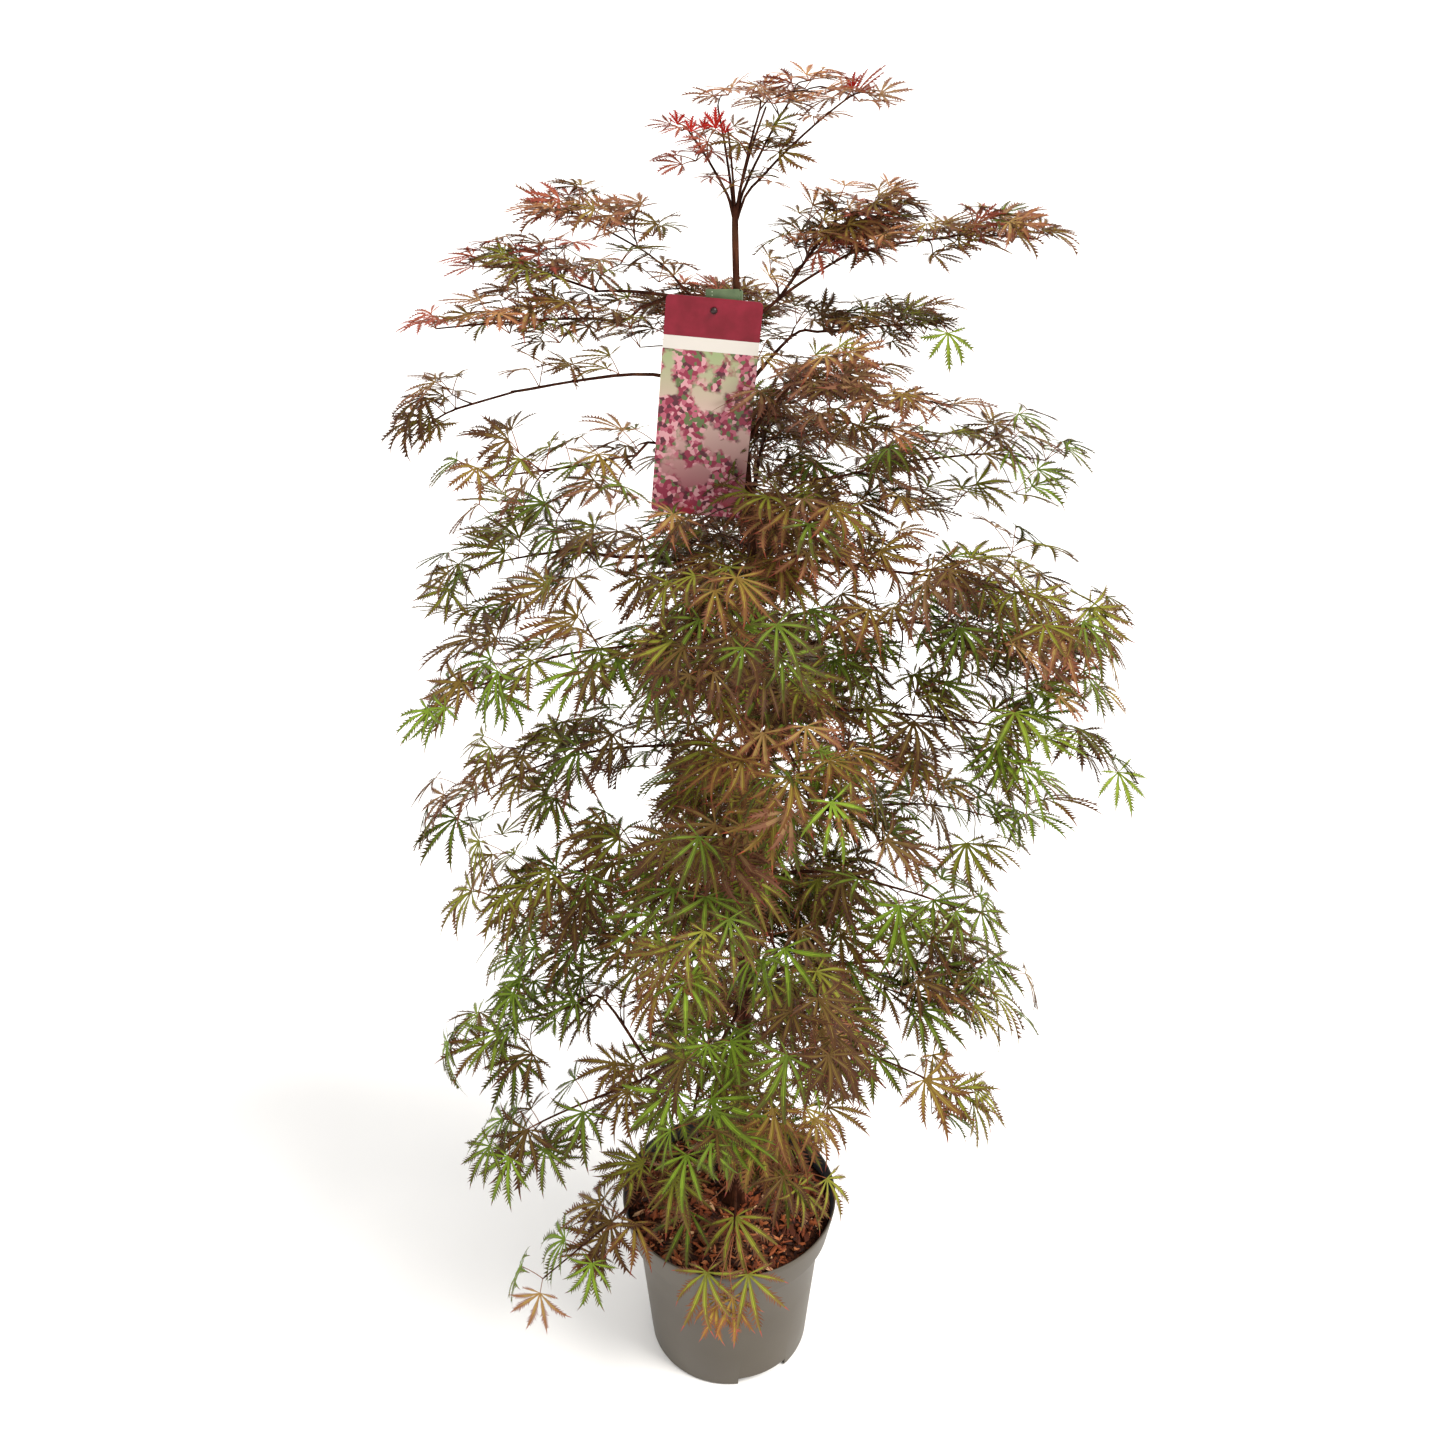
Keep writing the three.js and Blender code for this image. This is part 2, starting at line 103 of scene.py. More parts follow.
BOUGH_FOOT = [0.0026, 0.0024, 0.0020, 0.0016, 0.0014, 0.0010]  # radius at the trunk

# Which limb carries each mass that doesn't start at the trunk, and from how far along it
CARRIERS = {
    "left_top": ("bough_left_riser", 0.9),
    "left_upper": ("bough_left_upper", 0.95),
    "left_wing": ("bough_left_upper", 0.45),
    "left_streamer": ("bough_left_arm", 0.95),
    "left_middle": ("bough_left_middle", 0.95),
    "left_lobe": ("bough_left_lower", 0.9),
    "left_foot": ("bough_left_lower", 0.6),
    "right_top": ("bough_right_upper", 0.35),
    "right_wing": ("bough_right_upper", 0.95),
    "right_shoulder": ("bough_right_arm", 0.95),
}

# Leaf colours as display values: a lobe's midrib, blade near the stalk, blade further on, teeth and tip
TINTS = {
    "copper": ((176, 134, 88), (164, 120, 78), (152, 102, 68), (136, 82, 56), (152, 74, 54)),
    "mauve": ((150, 120, 80), (138, 106, 72), (122, 84, 62), (108, 68, 52), (118, 60, 50)),
    "bronze": ((148, 128, 54), (122, 98, 44), (110, 77, 41), (97, 58, 37), (120, 54, 39)),
    "umber": ((116, 96, 44), (92, 70, 36), (80, 54, 31), (70, 42, 29), (96, 45, 35)),
    "rose": ((166, 140, 80), (152, 120, 70), (138, 96, 62), (122, 73, 53), (142, 66, 52)),
    "gold": ((158, 148, 60), (134, 118, 50), (122, 96, 46), (116, 78, 44), (142, 74, 48)),
    "olive": ((148, 148, 50), (118, 118, 41), (102, 90, 38), (91, 59, 36), (114, 54, 39)),
    "moss": ((120, 138, 44), (90, 106, 34), (78, 80, 30), (72, 53, 29), (98, 51, 35)),
    "leaf": ((138, 162, 50), (112, 136, 40), (96, 114, 34), (82, 78, 31), (98, 62, 39)),
    "fresh": ((148, 168, 56), (130, 148, 48), (112, 128, 42), (96, 100, 38), (108, 84, 44)),
    "lime": ((152, 160, 52), (120, 120, 46), (114, 98, 48), (110, 72, 52), (154, 78, 68)),
    "amber": ((180, 152, 64), (154, 122, 56), (144, 104, 54), (132, 82, 54), (162, 86, 72)),
    "ruby": ((164, 100, 68), (152, 82, 60), (138, 68, 50), (124, 54, 43), (148, 54, 46)),
    "red": ((198, 52, 40), (186, 44, 34), (172, 38, 30), (156, 34, 28), (176, 46, 38)),
}
TINT_NAMES = list(TINTS)

# Chance of each tint by height, in the order of DEALT_TINTS
DEALT_TINTS = ["copper", "mauve", "bronze", "umber", "rose", "gold", "olive", "moss", "leaf", "fresh", "ruby"]
TINT_ODDS = {
    0.25: [0, 0, 2.8, 2, 0.4, 0.4, 2.6, 2, 1.4, 0.3, 0],
    0.60: [0, 0.3, 1.5, 1.6, 0.3, 0.3, 3.5, 3.4, 1.6, 0, 0],
    0.90: [0, 0.8, 3, 2, 0.7, 0.2, 3.8, 2.6, 0.9, 0, 0],
    1.12: [0, 2, 5, 2.5, 1, 0, 1.8, 0.8, 0.3, 0, 0],
    1.25: [1.6, 3, 5, 2, 0.6, 0, 0.8, 0.3, 0, 0, 0.8],
    1.40: [6, 3, 0.6, 0, 1.2, 0, 0.4, 0, 0, 0, 1.6],
}
OUTER_REACH = [0.20, 0.33]  # the outermost sprays are greener: painted light, for light shining through the leaves at the crown's edge
OUTER_ODDS = {"gold": 1.0, "olive": 4.0, "moss": 2.4, "leaf": 3.0, "fresh": 1.2}
SAME_TINT = 0.25  # chance that a twig has its bough's tint
OWN_TINT = 0.5  # chance that a leaf differs from its twig
RED_TIPS = ["left_upper", "left_wing"]  # masses that end in reddish leaves
MAIN_TINTS = {
    "left_shoulder": "leaf",
    "left_lobe": "leaf",
    "left_foot": "leaf",
    "left_trailer": "leaf",
    "left_streamer": "gold",
    "right_upper": "olive",
    "right_middle": "olive",
    "right_shoulder": "gold",
    "right_low": "fresh",
    "right_trailer": "leaf",
    "right_top": "umber",
    "right_wing": "bronze",
    "front_middle": "bronze",
    "front_belly": "olive",
}

# How close the twigs of a mass are, against the usual
DENSITY = {
    "left_top": 1.5, "left_upper": 1.4, "left_wing": 1.45, "left_streamer": 0.9, "left_high": 0.54,
    "left_middle": 1.3, "left_shoulder": 0.58, "left_low": 0.80, "left_hip": 0.55, "left_lobe": 1.1,
    "left_foot": 0.58, "left_trailer": 0.30, "front_middle": 0.85, "front_low": 0.32, "front_skirt": 0.28,
    "right_top": 2.9, "right_upper": 0.85, "right_wing": 1.9, "right_high": 1.02, "right_middle": 0.54,
    "right_shoulder": 1.45, "right_low": 0.98, "right_hip": 0.98, "right_skirt": 1.45, "right_trailer": 1.1,
    "right_base": 2.1, "back_top": 2.0, "back_high": 1.25, "back_middle": 0.9, "back_foot": 1.2,
}

# Single leaves that stand out: where the stalk ends, its tint, how steeply it hangs, and its size
ACCENTS = {
    "right_upper": [((0.178, -0.012, 1.222), "fresh", 72, 0.9)],
    "left_upper": [((-0.203, -0.010, 1.280), "ruby", -10, 0.8)],
    "left_wing": [((-0.240, -0.010, 1.231), "ruby", 5, 0.95)],
    "crown_left_red": [
        ((-0.043, -0.010, 1.381), "red", -45, 0.48),
        ((-0.032, -0.014, 1.376), "red", -62, 0.40),
        ((-0.022, -0.008, 1.377), "red", -70, 0.32),
        ((-0.013, -0.010, 1.378), "red", -66, 0.58),
        ((-0.006, -0.014, 1.375), "red", -50, 0.40),
    ],
    "crown_top": [
        ((0.094, 0.006, 1.400), "ruby", -38, 1.05),
        ((0.093, 0.010, 1.404), "red", -60, 0.5),
        ((0.098, 0.000, 1.396), "copper", 2, 1.15),
    ],
    "front_apron": [
        ((0.007, -0.087, 0.275), "olive", 38, 1.05),
        ((-0.043, -0.085, 0.280), "moss", 38, 1.0),
        ((-0.025, -0.132, 0.240), "lime", 40, 0.98),
        ((0.020, -0.133, 0.238), "lime", 40, 0.98),
        ((-0.014, -0.147, 0.216), "amber", 55, 0.75),
        ((0.003, -0.148, 0.219), "amber", 55, 0.85),
    ],
    "front_foot": [((0.012, -0.100, 0.392), "lime", 40, 0.8)],
}
SINGLE_LEAVES = ["front_apron"]  # masses of those leaves alone

# Short shoots on the trunk, all round and at the back: how many, between which headings, and how long
INNER_SHOOTS = [(44, 0, 360, 0.10), (30, 35, 150, 0.13)]
# Only the darker tints: painted shade for the leaves deep in the middle of the crown
INNER_SHADE_TINTS = ["umber", "moss", "bronze", "olive"]

# The crown's stems: the tint of each one's own leaves
STEM_TINTS = {
    "stem_far_left": "ruby",
    "stem_left": "mauve",
    "stem_middle": "bronze",
    "stem_right": "olive",
    "stem_far_right": "copper",
}
STEM_PAIRS = [0.25, 0.65]  # shares of a stem's length with a pair of them
CROWN_GAP = {"crown_top": 0.034, "crown_left_red": 0.037, "crown_inner": 0.041}
BARE_STEMS = [(-0.004, -0.012, 1.378), (0.026, 0.010, 1.392)]  # tips of two leafless stubs

# Leaves on a bough itself: the mass that they belong to, from which share of the bough on, and their tint
ARM_LEAVES = {"bough_left_arm": ("left_streamer", 0.5, "gold")}

# Radius of each bough at its foot and at its end
BOUGH_RADII = {
    "bough_left_upper": (0.0018, 0.0010),
    "bough_left_riser": (0.0012, 0.0008),
    "bough_left_arm": (0.0019, 0.0011),
    "bough_left_middle": (0.0024, 0.0016),
    "bough_left_lower": (0.0026, 0.0016),
    "bough_right_upper": (0.0018, 0.0010),
    "bough_right_arm": (0.0020, 0.0013),
}


# Small helpers


def unit(vector):
    return vector / np.linalg.norm(vector)


def level_unit(vector):
    """The level direction that a vector points in."""
    return unit(np.array([vector[0], vector[1], 0.0]))


def at_height(values, height):
    """The value that a list over HEIGHTS has at a height."""
    return float(np.interp(height, HEIGHTS, values))


def random_for(*keys):
    """A random source of its own for each part of the plant, the same in every run."""
    return np.random.default_rng([SEED, *keys])


def linear(colour):
    """Linear colour with alpha from display values of 0 to 255."""
    shares = [value / 255 for value in colour]
    channels = [s / 12.92 if s <= 0.04045 else ((s + 0.055) / 1.055) ** 2.4 for s in shares]
    return (*channels, 1.0)


def heading_vector(degrees):
    angle = math.radians(degrees)
    return np.array([math.cos(angle), math.sin(angle), 0.0])


def level_heading(vector):
    return math.degrees(math.atan2(vector[1], vector[0]))


def smooth_curve(points, count):
    """Places along a smooth curve through the points."""
    points = np.asarray(points, float)
    padded = np.vstack([2 * points[0] - points[1], points, 2 * points[-1] - points[-2]])
    at = np.linspace(0, len(points) - 1, count)
    low = np.minimum(at.astype(int), len(points) - 2)
    t = (at - low)[:, None]
    a, b, c, d = (padded[low + k] for k in range(4))
    return 0.5 * (2 * b + (c - a) * t + (2 * a - 5 * b + 4 * c - d) * t**2 + (3 * b - a - 3 * c + d) * t**3)


def value_along(values, share):
    """The value at a share of the way along a list."""
    return float(np.interp(share, np.linspace(0, 1, len(values)), values))


def along_curve(path, share):
    """The place at a share of the way along a path."""
    at = share * (len(path) - 1)
    low = min(int(at), len(path) - 2)
    return path[low] + (at - low) * (path[low + 1] - path[low])


def path_length(path):
    return float(np.linalg.norm(np.diff(path, axis=0), axis=1).sum())


# Meshes


class Pile:
    """Many small meshes, joined into one."""

    def __init__(self):
        self.vertices = []
        self.triangles = []
        self.slots = []
        self.count = 0

    def add(self, vertices, triangles, slots=0):
        self.vertices.append(vertices)
        self.triangles.append(np.asarray(triangles) + self.count)
        self.slots.append(np.broadcast_to(slots, len(triangles)))
        self.count += len(vertices)

    def joined(self):
        """All vertices, triangles and material indices."""
        return np.concatenate(self.vertices), np.concatenate(self.triangles), np.concatenate(self.slots)

    def make(self, name, materials, slot, smooth=False):
        """One object of everything in the pile, riding on the plant's only body."""
        vertices, triangles, slots = self.joined()
        mesh = bpy.data.meshes.new(name)
        mesh.vertices.add(len(vertices))
        mesh.vertices.foreach_set("co", vertices.astype(np.float32).ravel())
        mesh.loops.add(triangles.size)
        mesh.loops.foreach_set("vertex_index", triangles.astype(np.int32).ravel())
        mesh.polygons.add(len(triangles))
        mesh.polygons.foreach_set("loop_start", np.arange(0, triangles.size, 3, dtype=np.int32))
        for material in materials:
            mesh.materials.append(material)
        mesh.polygons.foreach_set("material_index", slots.astype(np.int32))
        mesh.polygons.foreach_set("use_smooth", np.full(len(triangles), smooth))
        mesh.update(calc_edges=True)
        piece = bpy.data.objects.new(name, mesh)
        bpy.context.scene.collection.objects.link(piece)
        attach(piece, "root")
        return piece


def rings_to_triangles(rings, sides, capped=True):
    """Triangles between rings of vertices, and over the two end rings."""
    ring, side = np.meshgrid(np.arange(rings - 1), np.arange(sides), indexing="ij")
    a = (ring * sides + side).ravel()
    b = (ring * sides + (side + 1) % sides).ravel()
    faces = [np.stack([a, b, b + sides], 1), np.stack([a, b + sides, a + sides], 1)]
    if capped:
        fan = np.arange(1, sides - 1)
        last = (rings - 1) * sides
        faces.append(np.stack([0 * fan, fan + 1, fan], 1))
        faces.append(np.stack([0 * fan + last, last + fan, last + fan + 1], 1))
    return np.concatenate(faces)


def tube(path, radii, sides, relief=None):
    """A round limb along a path. relief gives a factor on the radius for each vertex."""
    ASKEW = 0.01  # keeps the guide from lying just along the limb
    along = np.gradient(path, axis=0)
    along /= np.linalg.norm(along, axis=1)[:, None]
    level = np.hypot(along[:, 0], along[:, 1]).mean()
    guide = UP if level > 0.5 else np.array([0.0, 1.0, 0.0])
    side = np.cross(along, guide + ASKEW)
    side /= np.linalg.norm(side, axis=1)[:, None]
    over = np.cross(side, along)
    turn = np.linspace(0, 2 * math.pi, sides, endpoint=False)
    out = np.cos(turn)[None, :, None] * side[:, None] - np.sin(turn)[None, :, None] * over[:, None]
    factor = np.ones((len(path), sides)) if relief is None else relief(path, turn)
    vertices = path[:, None] + out * (np.asarray(radii)[:, None] * factor)[:, :, None]
    return vertices.reshape(-1, 3), rings_to_triangles(len(path), sides)


def lathe(profile, segments):
    """A closed turned shape from (radius, height) pairs that start and end on the axis."""
    turn = np.linspace(0, 2 * math.pi, segments, endpoint=False)
    rings = [
        np.stack([r * np.cos(turn), r * np.sin(turn), np.full(segments, z)], 1)
        for r, z in profile[1:-1]
    ]
    vertices = np.concatenate([*rings, [[0, 0, profile[0][1]]], [[0, 0, profile[-1][1]]]])
    walls = rings_to_triangles(len(rings), segments, capped=False)
    a = np.arange(segments)
    b = (a + 1) % segments
    first, last = len(vertices) - 2, len(vertices) - 1
    top = (len(rings) - 1) * segments
    low_fan = np.stack([np.full(segments, first), b, a], 1)
    high_fan = np.stack([np.full(segments, last), top + a, top + b], 1)
    return vertices, np.concatenate([walls, low_fan, high_fan])


# Materials


def plain_material(name, colour, roughness=0.5, specular=0.4):
    """A material of one even colour, for leaves and other small things dealt out by colour."""
    material = bpy.data.materials.new(name)
    material.use_nodes = True
    shader = material.node_tree.nodes["Principled BSDF"]
    shader.inputs["Base Color"].default_value = linear(colour)
    shader.inputs["Roughness"].default_value = roughness
    shader.inputs["Specular IOR Level"].default_value = specular
    return material


class Shading:
    """Short ways to build a procedural material's nodes."""

    def __init__(self, name, roughness=0.5, specular=0.4):
        self.material = bpy.data.materials.new(name)
        self.material.use_nodes = True
        self.tree = self.material.node_tree
        self.shader = self.tree.nodes["Principled BSDF"]
        self.shader.inputs["Roughness"].default_value = roughness
        self.shader.inputs["Specular IOR Level"].default_value = specular
        self.places = self.node("ShaderNodeTexCoord").outputs["Object"]

    def node(self, kind, **values):
        made = self.tree.nodes.new(kind)
        for key, value in values.items():
            setattr(made, key, value)
        return made

    def link(self, source, target):
        self.tree.links.new(source, target)

    def stretched(self, scale=(1, 1, 1), turn=(0, 0, 0), shift=(0, 0, 0)):
        """Object coordinates, turned, moved and scaled."""
        mapping = self.node("ShaderNodeMapping")
        mapping.inputs["Scale"].default_value = scale
        mapping.inputs["Rotation"].default_value = turn
        mapping.inputs["Location"].default_value = shift
        self.link(self.places, mapping.inputs["Vector"])
        return mapping.outputs["Vector"]

    def noise(self, scale, detail=4, vector=None, rough=0.55):
        made = self.node("ShaderNodeTexNoise")
        made.inputs["Scale"].default_value = scale
        made.inputs["Detail"].default_value = detail
        made.inputs["Roughness"].default_value = rough
        self.link(self.places if vector is None else vector, made.inputs["Vector"])
        return made.outputs["Fac"]

    def cells(self, scale, vector=None, output="Distance"):
        made = self.node("ShaderNodeTexVoronoi")
        made.inputs["Scale"].default_value = scale
        self.link(self.places if vector is None else vector, made.inputs["Vector"])
        return made.outputs[output]

    def ramp(self, source, stops, sharp=False):
        """Colours over a value, as (place, display colour) pairs."""
        made = self.node("ShaderNodeValToRGB")
        elements = made.color_ramp.elements
        while len(elements) < len(stops):
            elements.new(0.5)
        for element, (place, colour) in zip(elements, stops):
            element.position = place
            element.color = linear(colour)
        made.color_ramp.interpolation = "CONSTANT" if sharp else "LINEAR"
        self.link(source, made.inputs["Fac"])
        return made.outputs["Color"]

    def step(self, source, place):
        """White from a value on, black below it."""
        return self.ramp(source, [(0, (0, 0, 0)), (place, (255, 255, 255))], sharp=True)

    def mixed(self, share, first, second):
        """Two colours mixed by a share, which may be a number or a socket."""
        made = self.node("ShaderNodeMix", data_type="RGBA")
        factor, a, b = made.inputs["Factor"], made.inputs[6], made.inputs[7]
        for socket, value in ((factor, share), (a, first), (b, second)):
            if isinstance(value, bpy.types.NodeSocket):
                self.link(value, socket)
            else:
                socket.default_value = value
        return made.outputs[2]

    def between(self, value, low, high):
        """0 below low, 1 above high, even in between."""
        made = self.node("ShaderNodeMapRange")
        made.inputs["From Min"].default_value = low
        made.inputs["From Max"].default_value = high
        self.link(value, made.inputs["Value"])
        return made.outputs["Result"]

    def colour(self, source):
        self.link(source, self.shader.inputs["Base Color"])

    def bump(self, height, strength, distance):
        made = self.node("ShaderNodeBump")
        made.inputs["Strength"].default_value = strength
        made.inputs["Distance"].default_value = distance
        self.link(height, made.inputs["Height"])
        self.link(made.outputs["Normal"], self.shader.inputs["Normal"])


def bark_material():
    """Dark red-brown bark with paler streaks along the limb and browner patches."""
    bark = Shading("maple_bark", roughness=0.85, specular=0.05)
    streaks = bark.noise(160, vector=bark.stretched(scale=(1, 1, 0.22)))
    patches = bark.noise(28, detail=2)
    base = bark.ramp(streaks, [(0.3, (34, 17, 12)), (0.55, (64, 34, 23)), (0.75, (102, 62, 40))])
    weathered = bark.mixed(bark.between(patches, 0.52, 0.72), base, linear((76, 50, 34)))
    bark.colour(weathered)
    bark.bump(streaks, 0.5, 0.0006)
    return bark.material


def pot_material():
    """Taupe recycled plastic, faintly mottled, with a few dark specks."""
    pot = Shading("pot_plastic", roughness=0.46, specular=0.45)
    mottle = pot.noise(9, detail=5)
    body = pot.ramp(mottle, [(0.3, (67, 59, 47)), (0.7, (75, 67, 54))])
    specks = pot.between(pot.cells(210), 0.07, 0.035)
    rare = pot.between(pot.noise(24, detail=1), 0.60, 0.66)
    spots = pot.node("ShaderNodeMath", operation="MULTIPLY")
    pot.link(specks, spots.inputs[0])
    pot.link(rare, spots.inputs[1])
    pot.colour(pot.mixed(spots.outputs[0], body, linear((56, 50, 44))))
    pot.bump(pot.noise(420, detail=2), 0.12, 0.0003)
    return pot.material


def soil_material():
    """Damp dark compost."""
    soil = Shading("compost", roughness=0.9, specular=0.2)
    grains = soil.noise(240, detail=6)
    soil.colour(soil.ramp(grains, [(0.3, (34, 18, 12)), (0.55, (66, 34, 20)), (0.8, (112, 62, 36))]))
    soil.bump(grains, 0.8, 0.002)
    return soil.material


def tie_material():
    """Soft green strap plastic with a fine ribbed face."""
    tie = Shading("tie_plastic", roughness=0.5)
    tie.colour(tie.ramp(tie.noise(120), [(0.3, (74, 92, 62)), (0.7, (92, 110, 76))]))
    tie.bump(tie.noise(600, vector=tie.stretched(scale=(1, 1, 0.1))), 0.2, 0.0002)
    return tie.material


# Reading the frame

TRUNK_POINTS = 6000
TRUNK_SLICES = 24
NODE_POINTS = 1500
LIMB_SLICES = 7
MASS_SLICES = 8


def node_mesh(node):
    """A node's vertices and triangles."""
    mesh = frame["nodes"][node].data
    mesh.calc_loop_triangles()
    vertices = np.array([vertex.co for vertex in mesh.vertices])
    triangles = np.array([triangle.vertices for triangle in mesh.loop_triangles])
    return vertices, triangles


def node_box(node):
    """The lowest and the highest corner of a node's box."""
    low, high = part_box(node)
    return np.array(low), np.array(high)


def foliage_nodes():
    """Each foliage node with its slot, in the frame's order."""
    return [
        (part["node"], part["material_slot"])
        for part in frame["record"]["subparts"]
        if part["material_slot"].startswith("foliage")
    ]


def surface_points(node, count, random):
    """Points spread evenly over a node's surface."""
    vertices, triangles = node_mesh(node)
    corners = vertices[triangles]
    edges = corners[:, 1:] - corners[:, :1]
    area = np.linalg.norm(np.cross(edges[:, 0], edges[:, 1]), axis=1)
    chosen = random.choice(len(triangles), count, p=area / area.sum())
    a, b = random.random((2, count))
    over = a + b > 1
    a[over], b[over] = 1 - a[over], 1 - b[over]
    return corners[chosen, 0] + a[:, None] * edges[chosen, 0] + b[:, None] * edges[chosen, 1]


def sliced(points, along, slices):
    """The middle, half width and half depth of slices of points, taken square to a level direction."""
    across = np.array([-along[1], along[0], 0.0])
    reach = points @ along
    edges = np.linspace(reach.min(), reach.max(), slices + 1)
    middles, widths, depths = [], [], []
    for low, high in zip(edges[:-1], edges[1:]):
        inside = points[(reach >= low) & (reach <= high)]
        side = inside @ across
        height = inside[:, 2]
        middle = (low + high) / 2 * along + (side.min() + side.max()) / 2 * across
        middles.append(middle + (height.min() + height.max()) / 2 * UP)
        widths.append((side.max() - side.min()) / 2)
        depths.append((height.max() - height.min()) / 2)
    ends = [points[reach.argmin()], points[reach.argmax()]]
    return np.array([ends[0], *middles, ends[1]]), np.array([0, *widths, 0]), np.array([0, *depths, 0])


def trunk_line():
    """The trunk's axis, from its foot to its fork."""
    points = surface_points("trunk", TRUNK_POINTS, random_for(1))
    low, high = points[:, 2].min(), points[:, 2].max()
    edges = np.linspace(low, high, TRUNK_SLICES + 1)
    line = []
    for bottom, top in zip(edges[:-1], edges[1:]):
        inside = points[(points[:, 2] >= bottom) & (points[:, 2] <= top)]
        line.append([*inside[:, :2].mean(axis=0), (bottom + top) / 2])
    first = [*line[0][:2], low]
    last = [*line[-1][:2], high]
    return np.array([first, *line, last])


TRUNK = trunk_line()


def trunk_at(height):
    """The point of the trunk's axis at a height."""
    return np.array([np.interp(height, TRUNK[:, 2], TRUNK[:, k]) for k in range(3)])


def limb_line(node):
    """The axis of a bough or stem, from its foot to its end."""
    points = surface_points(node, NODE_POINTS, random_for(2))
    low, high = node_box(node)
    if (high - low)[:2].max() > (high - low)[2]:
        foot = trunk_at(points[:, 2].mean())
        line, _, _ = sliced(points, level_unit(points.mean(axis=0) - foot), LIMB_SLICES)
        return line
    order = np.argsort(points[:, 2])
    groups = np.array_split(points[order], LIMB_SLICES)
    line = [group.mean(axis=0) for group in groups]
    return np.array([points[order[0]], *line, points[order[-1]]])


# Leaves

# Each lobe's angle from the middle one and its length as a share of it
SEVEN_LOBES = [(0, 1.0), (31, 0.95), (64, 0.78), (103, 0.46)]
NINE_LOBES = [(0, 1.0), (26, 0.96), (54, 0.84), (86, 0.62), (124, 0.36)]
YOUNG_LOBES = [(0, 1.0), (27, 0.86), (60, 0.6)]

# A lobe's half width along it, as shares: a bare stalk, fullest past the middle, and a long thread of a tip
LOBE_PLACES = [0, 0.13, 0.25, 0.40, 0.55, 0.70, 0.82, 1.0]
LOBE_WIDTHS = [0.16, 0.20, 0.58, 0.92, 1.0, 0.70, 0.28, 0.05]
BLADE_WIDTHS = [1.0, 1.0, 0.50, 0.39, 0.35, 0.36, 0.56, 1.0]  # share of that which no tooth cuts into
TIP_START = 0.80  # no teeth from this share of the length on
PARTS = ["rib", "heart", "blade", "teeth", "tip"]
RIB, HEART, BLADE, TEETH, TIP = range(len(PARTS))


def between_points(points, places):
    """Points at places between the points of a path, where 1.5 is halfway from the second to the third."""
    return np.stack([np.interp(places, np.arange(len(points)), points[:, k]) for k in range(3)], 1)


class Lobe:
    """One toothed, drooping lobe of a leaf, folded along its spine. Its pile's slots are indices in PARTS."""

    def __init__(self, angle, length, steps, width, droop, random):
        STALK = 0.15  # share of the length before the first teeth
        ARCH = 0.20  # how much the lobe rises before it droops
        BEND = 8  # degrees that it turns aside, as a spread
        self.length = length
        self.steps = steps
        self.step_length = length * (1 - STALK) / (steps - 1)
        self.shares = np.concatenate([[0], np.linspace(STALK, 1, steps)])
        turn = np.radians(angle + random.normal(0, BEND) * self.shares**2)
        reach = length * self.shares
        lift = ARCH * reach - droop * reach**2
        self.forward = np.stack([np.cos(turn), np.sin(turn), 0 * turn], 1)
        self.aside = np.stack([-np.sin(turn), np.cos(turn), 0 * turn], 1)
        self.spine = reach[:, None] * self.forward + lift[:, None] * UP
        self.half = width * length * np.interp(self.shares, LOBE_PLACES, LOBE_WIDTHS)
        self.inner = self.half * np.interp(self.shares, LOBE_PLACES, BLADE_WIDTHS)
        self.pile = Pile()
        self.add_blade()
        self.add_rib()
        self.add_teeth(random)

    def edge(self, side, share=1.0):
        """The line beside the spine, at a share of the blade's half width."""
        FOLD = 0.45  # rise against the distance from the spine
        out = share * self.inner[:, None]
        return self.spine + side * out * self.aside + FOLD * out * UP

    def add_blade(self):
        """The two folded halves of the blade, which meet in the spine's last point."""
        HEART_END = 0.46  # the blade has another colour up to here
        at = np.arange(self.steps)
        edge = len(self.spine) + at
        near = np.stack([at, at + 1, edge], 1)
        far = np.stack([at + 1, edge + 1, edge], 1)[:-1]
        starts = self.shares[:-1]
        parts = np.where(starts > TIP_START, TIP, np.where(starts < HEART_END, HEART, BLADE))
        for side in (1, -1):
            vertices = np.concatenate([self.spine, self.edge(side)[:-1]])
            triangles = np.concatenate([near, far])[:, ::side]
            self.pile.add(vertices, triangles, np.concatenate([parts, parts[:-1]]))

    def add_rib(self):
        """A narrow strip just over the spine."""
        END = 0.66  # share of the length
        WIDTH = 0.17  # share of the blade's
        LIFT = 0.004
        count = int((self.shares < END).sum())
        lines = [self.edge(side, WIDTH)[:count] + LIFT * self.length * UP for side in (1, -1)]
        left = np.arange(1, count - 1)
        right = left + count
        near = np.stack([left, right, right + 1], 1)
        far = np.stack([left, right + 1, left + 1], 1)
        self.pile.add(np.concatenate(lines), np.concatenate([near, far]), RIB)

    def add_teeth(self, random):
        """A row of pointed teeth on each side, which lean towards the tip."""
        A_STEP = 2
        FOOT = 0.43  # in steps
        REACH = (0.9, 1.5)  # against the lobe's half width
        AHEAD = (0.6, 1.0)  # in steps
        RISE = 0.1  # against the reach
        marks = np.arange(self.steps + 1)
        places = np.arange(1, self.steps, 1 / A_STEP)
        places = places[np.interp(places, marks, self.shares) < TIP_START]
        count = len(places)
        lines = (self.spine, self.aside, self.forward)
        spine, aside, forward = (between_points(line, places) for line in lines)
        for side in (1, -1):
            edge = self.edge(side)
            out = np.interp(places, marks, self.half) * random.uniform(*REACH, count)
            ahead = self.step_length * random.uniform(*AHEAD, count)
            tips = spine + side * out[:, None] * aside
            tips += ahead[:, None] * forward + RISE * out[:, None] * UP
            teeth = np.stack([between_points(edge, places), between_points(edge, places + FOOT), tips], 1)
            self.pile.add(teeth.reshape(-1, 3), np.arange(3 * count).reshape(-1, 3)[:, ::side], TEETH)


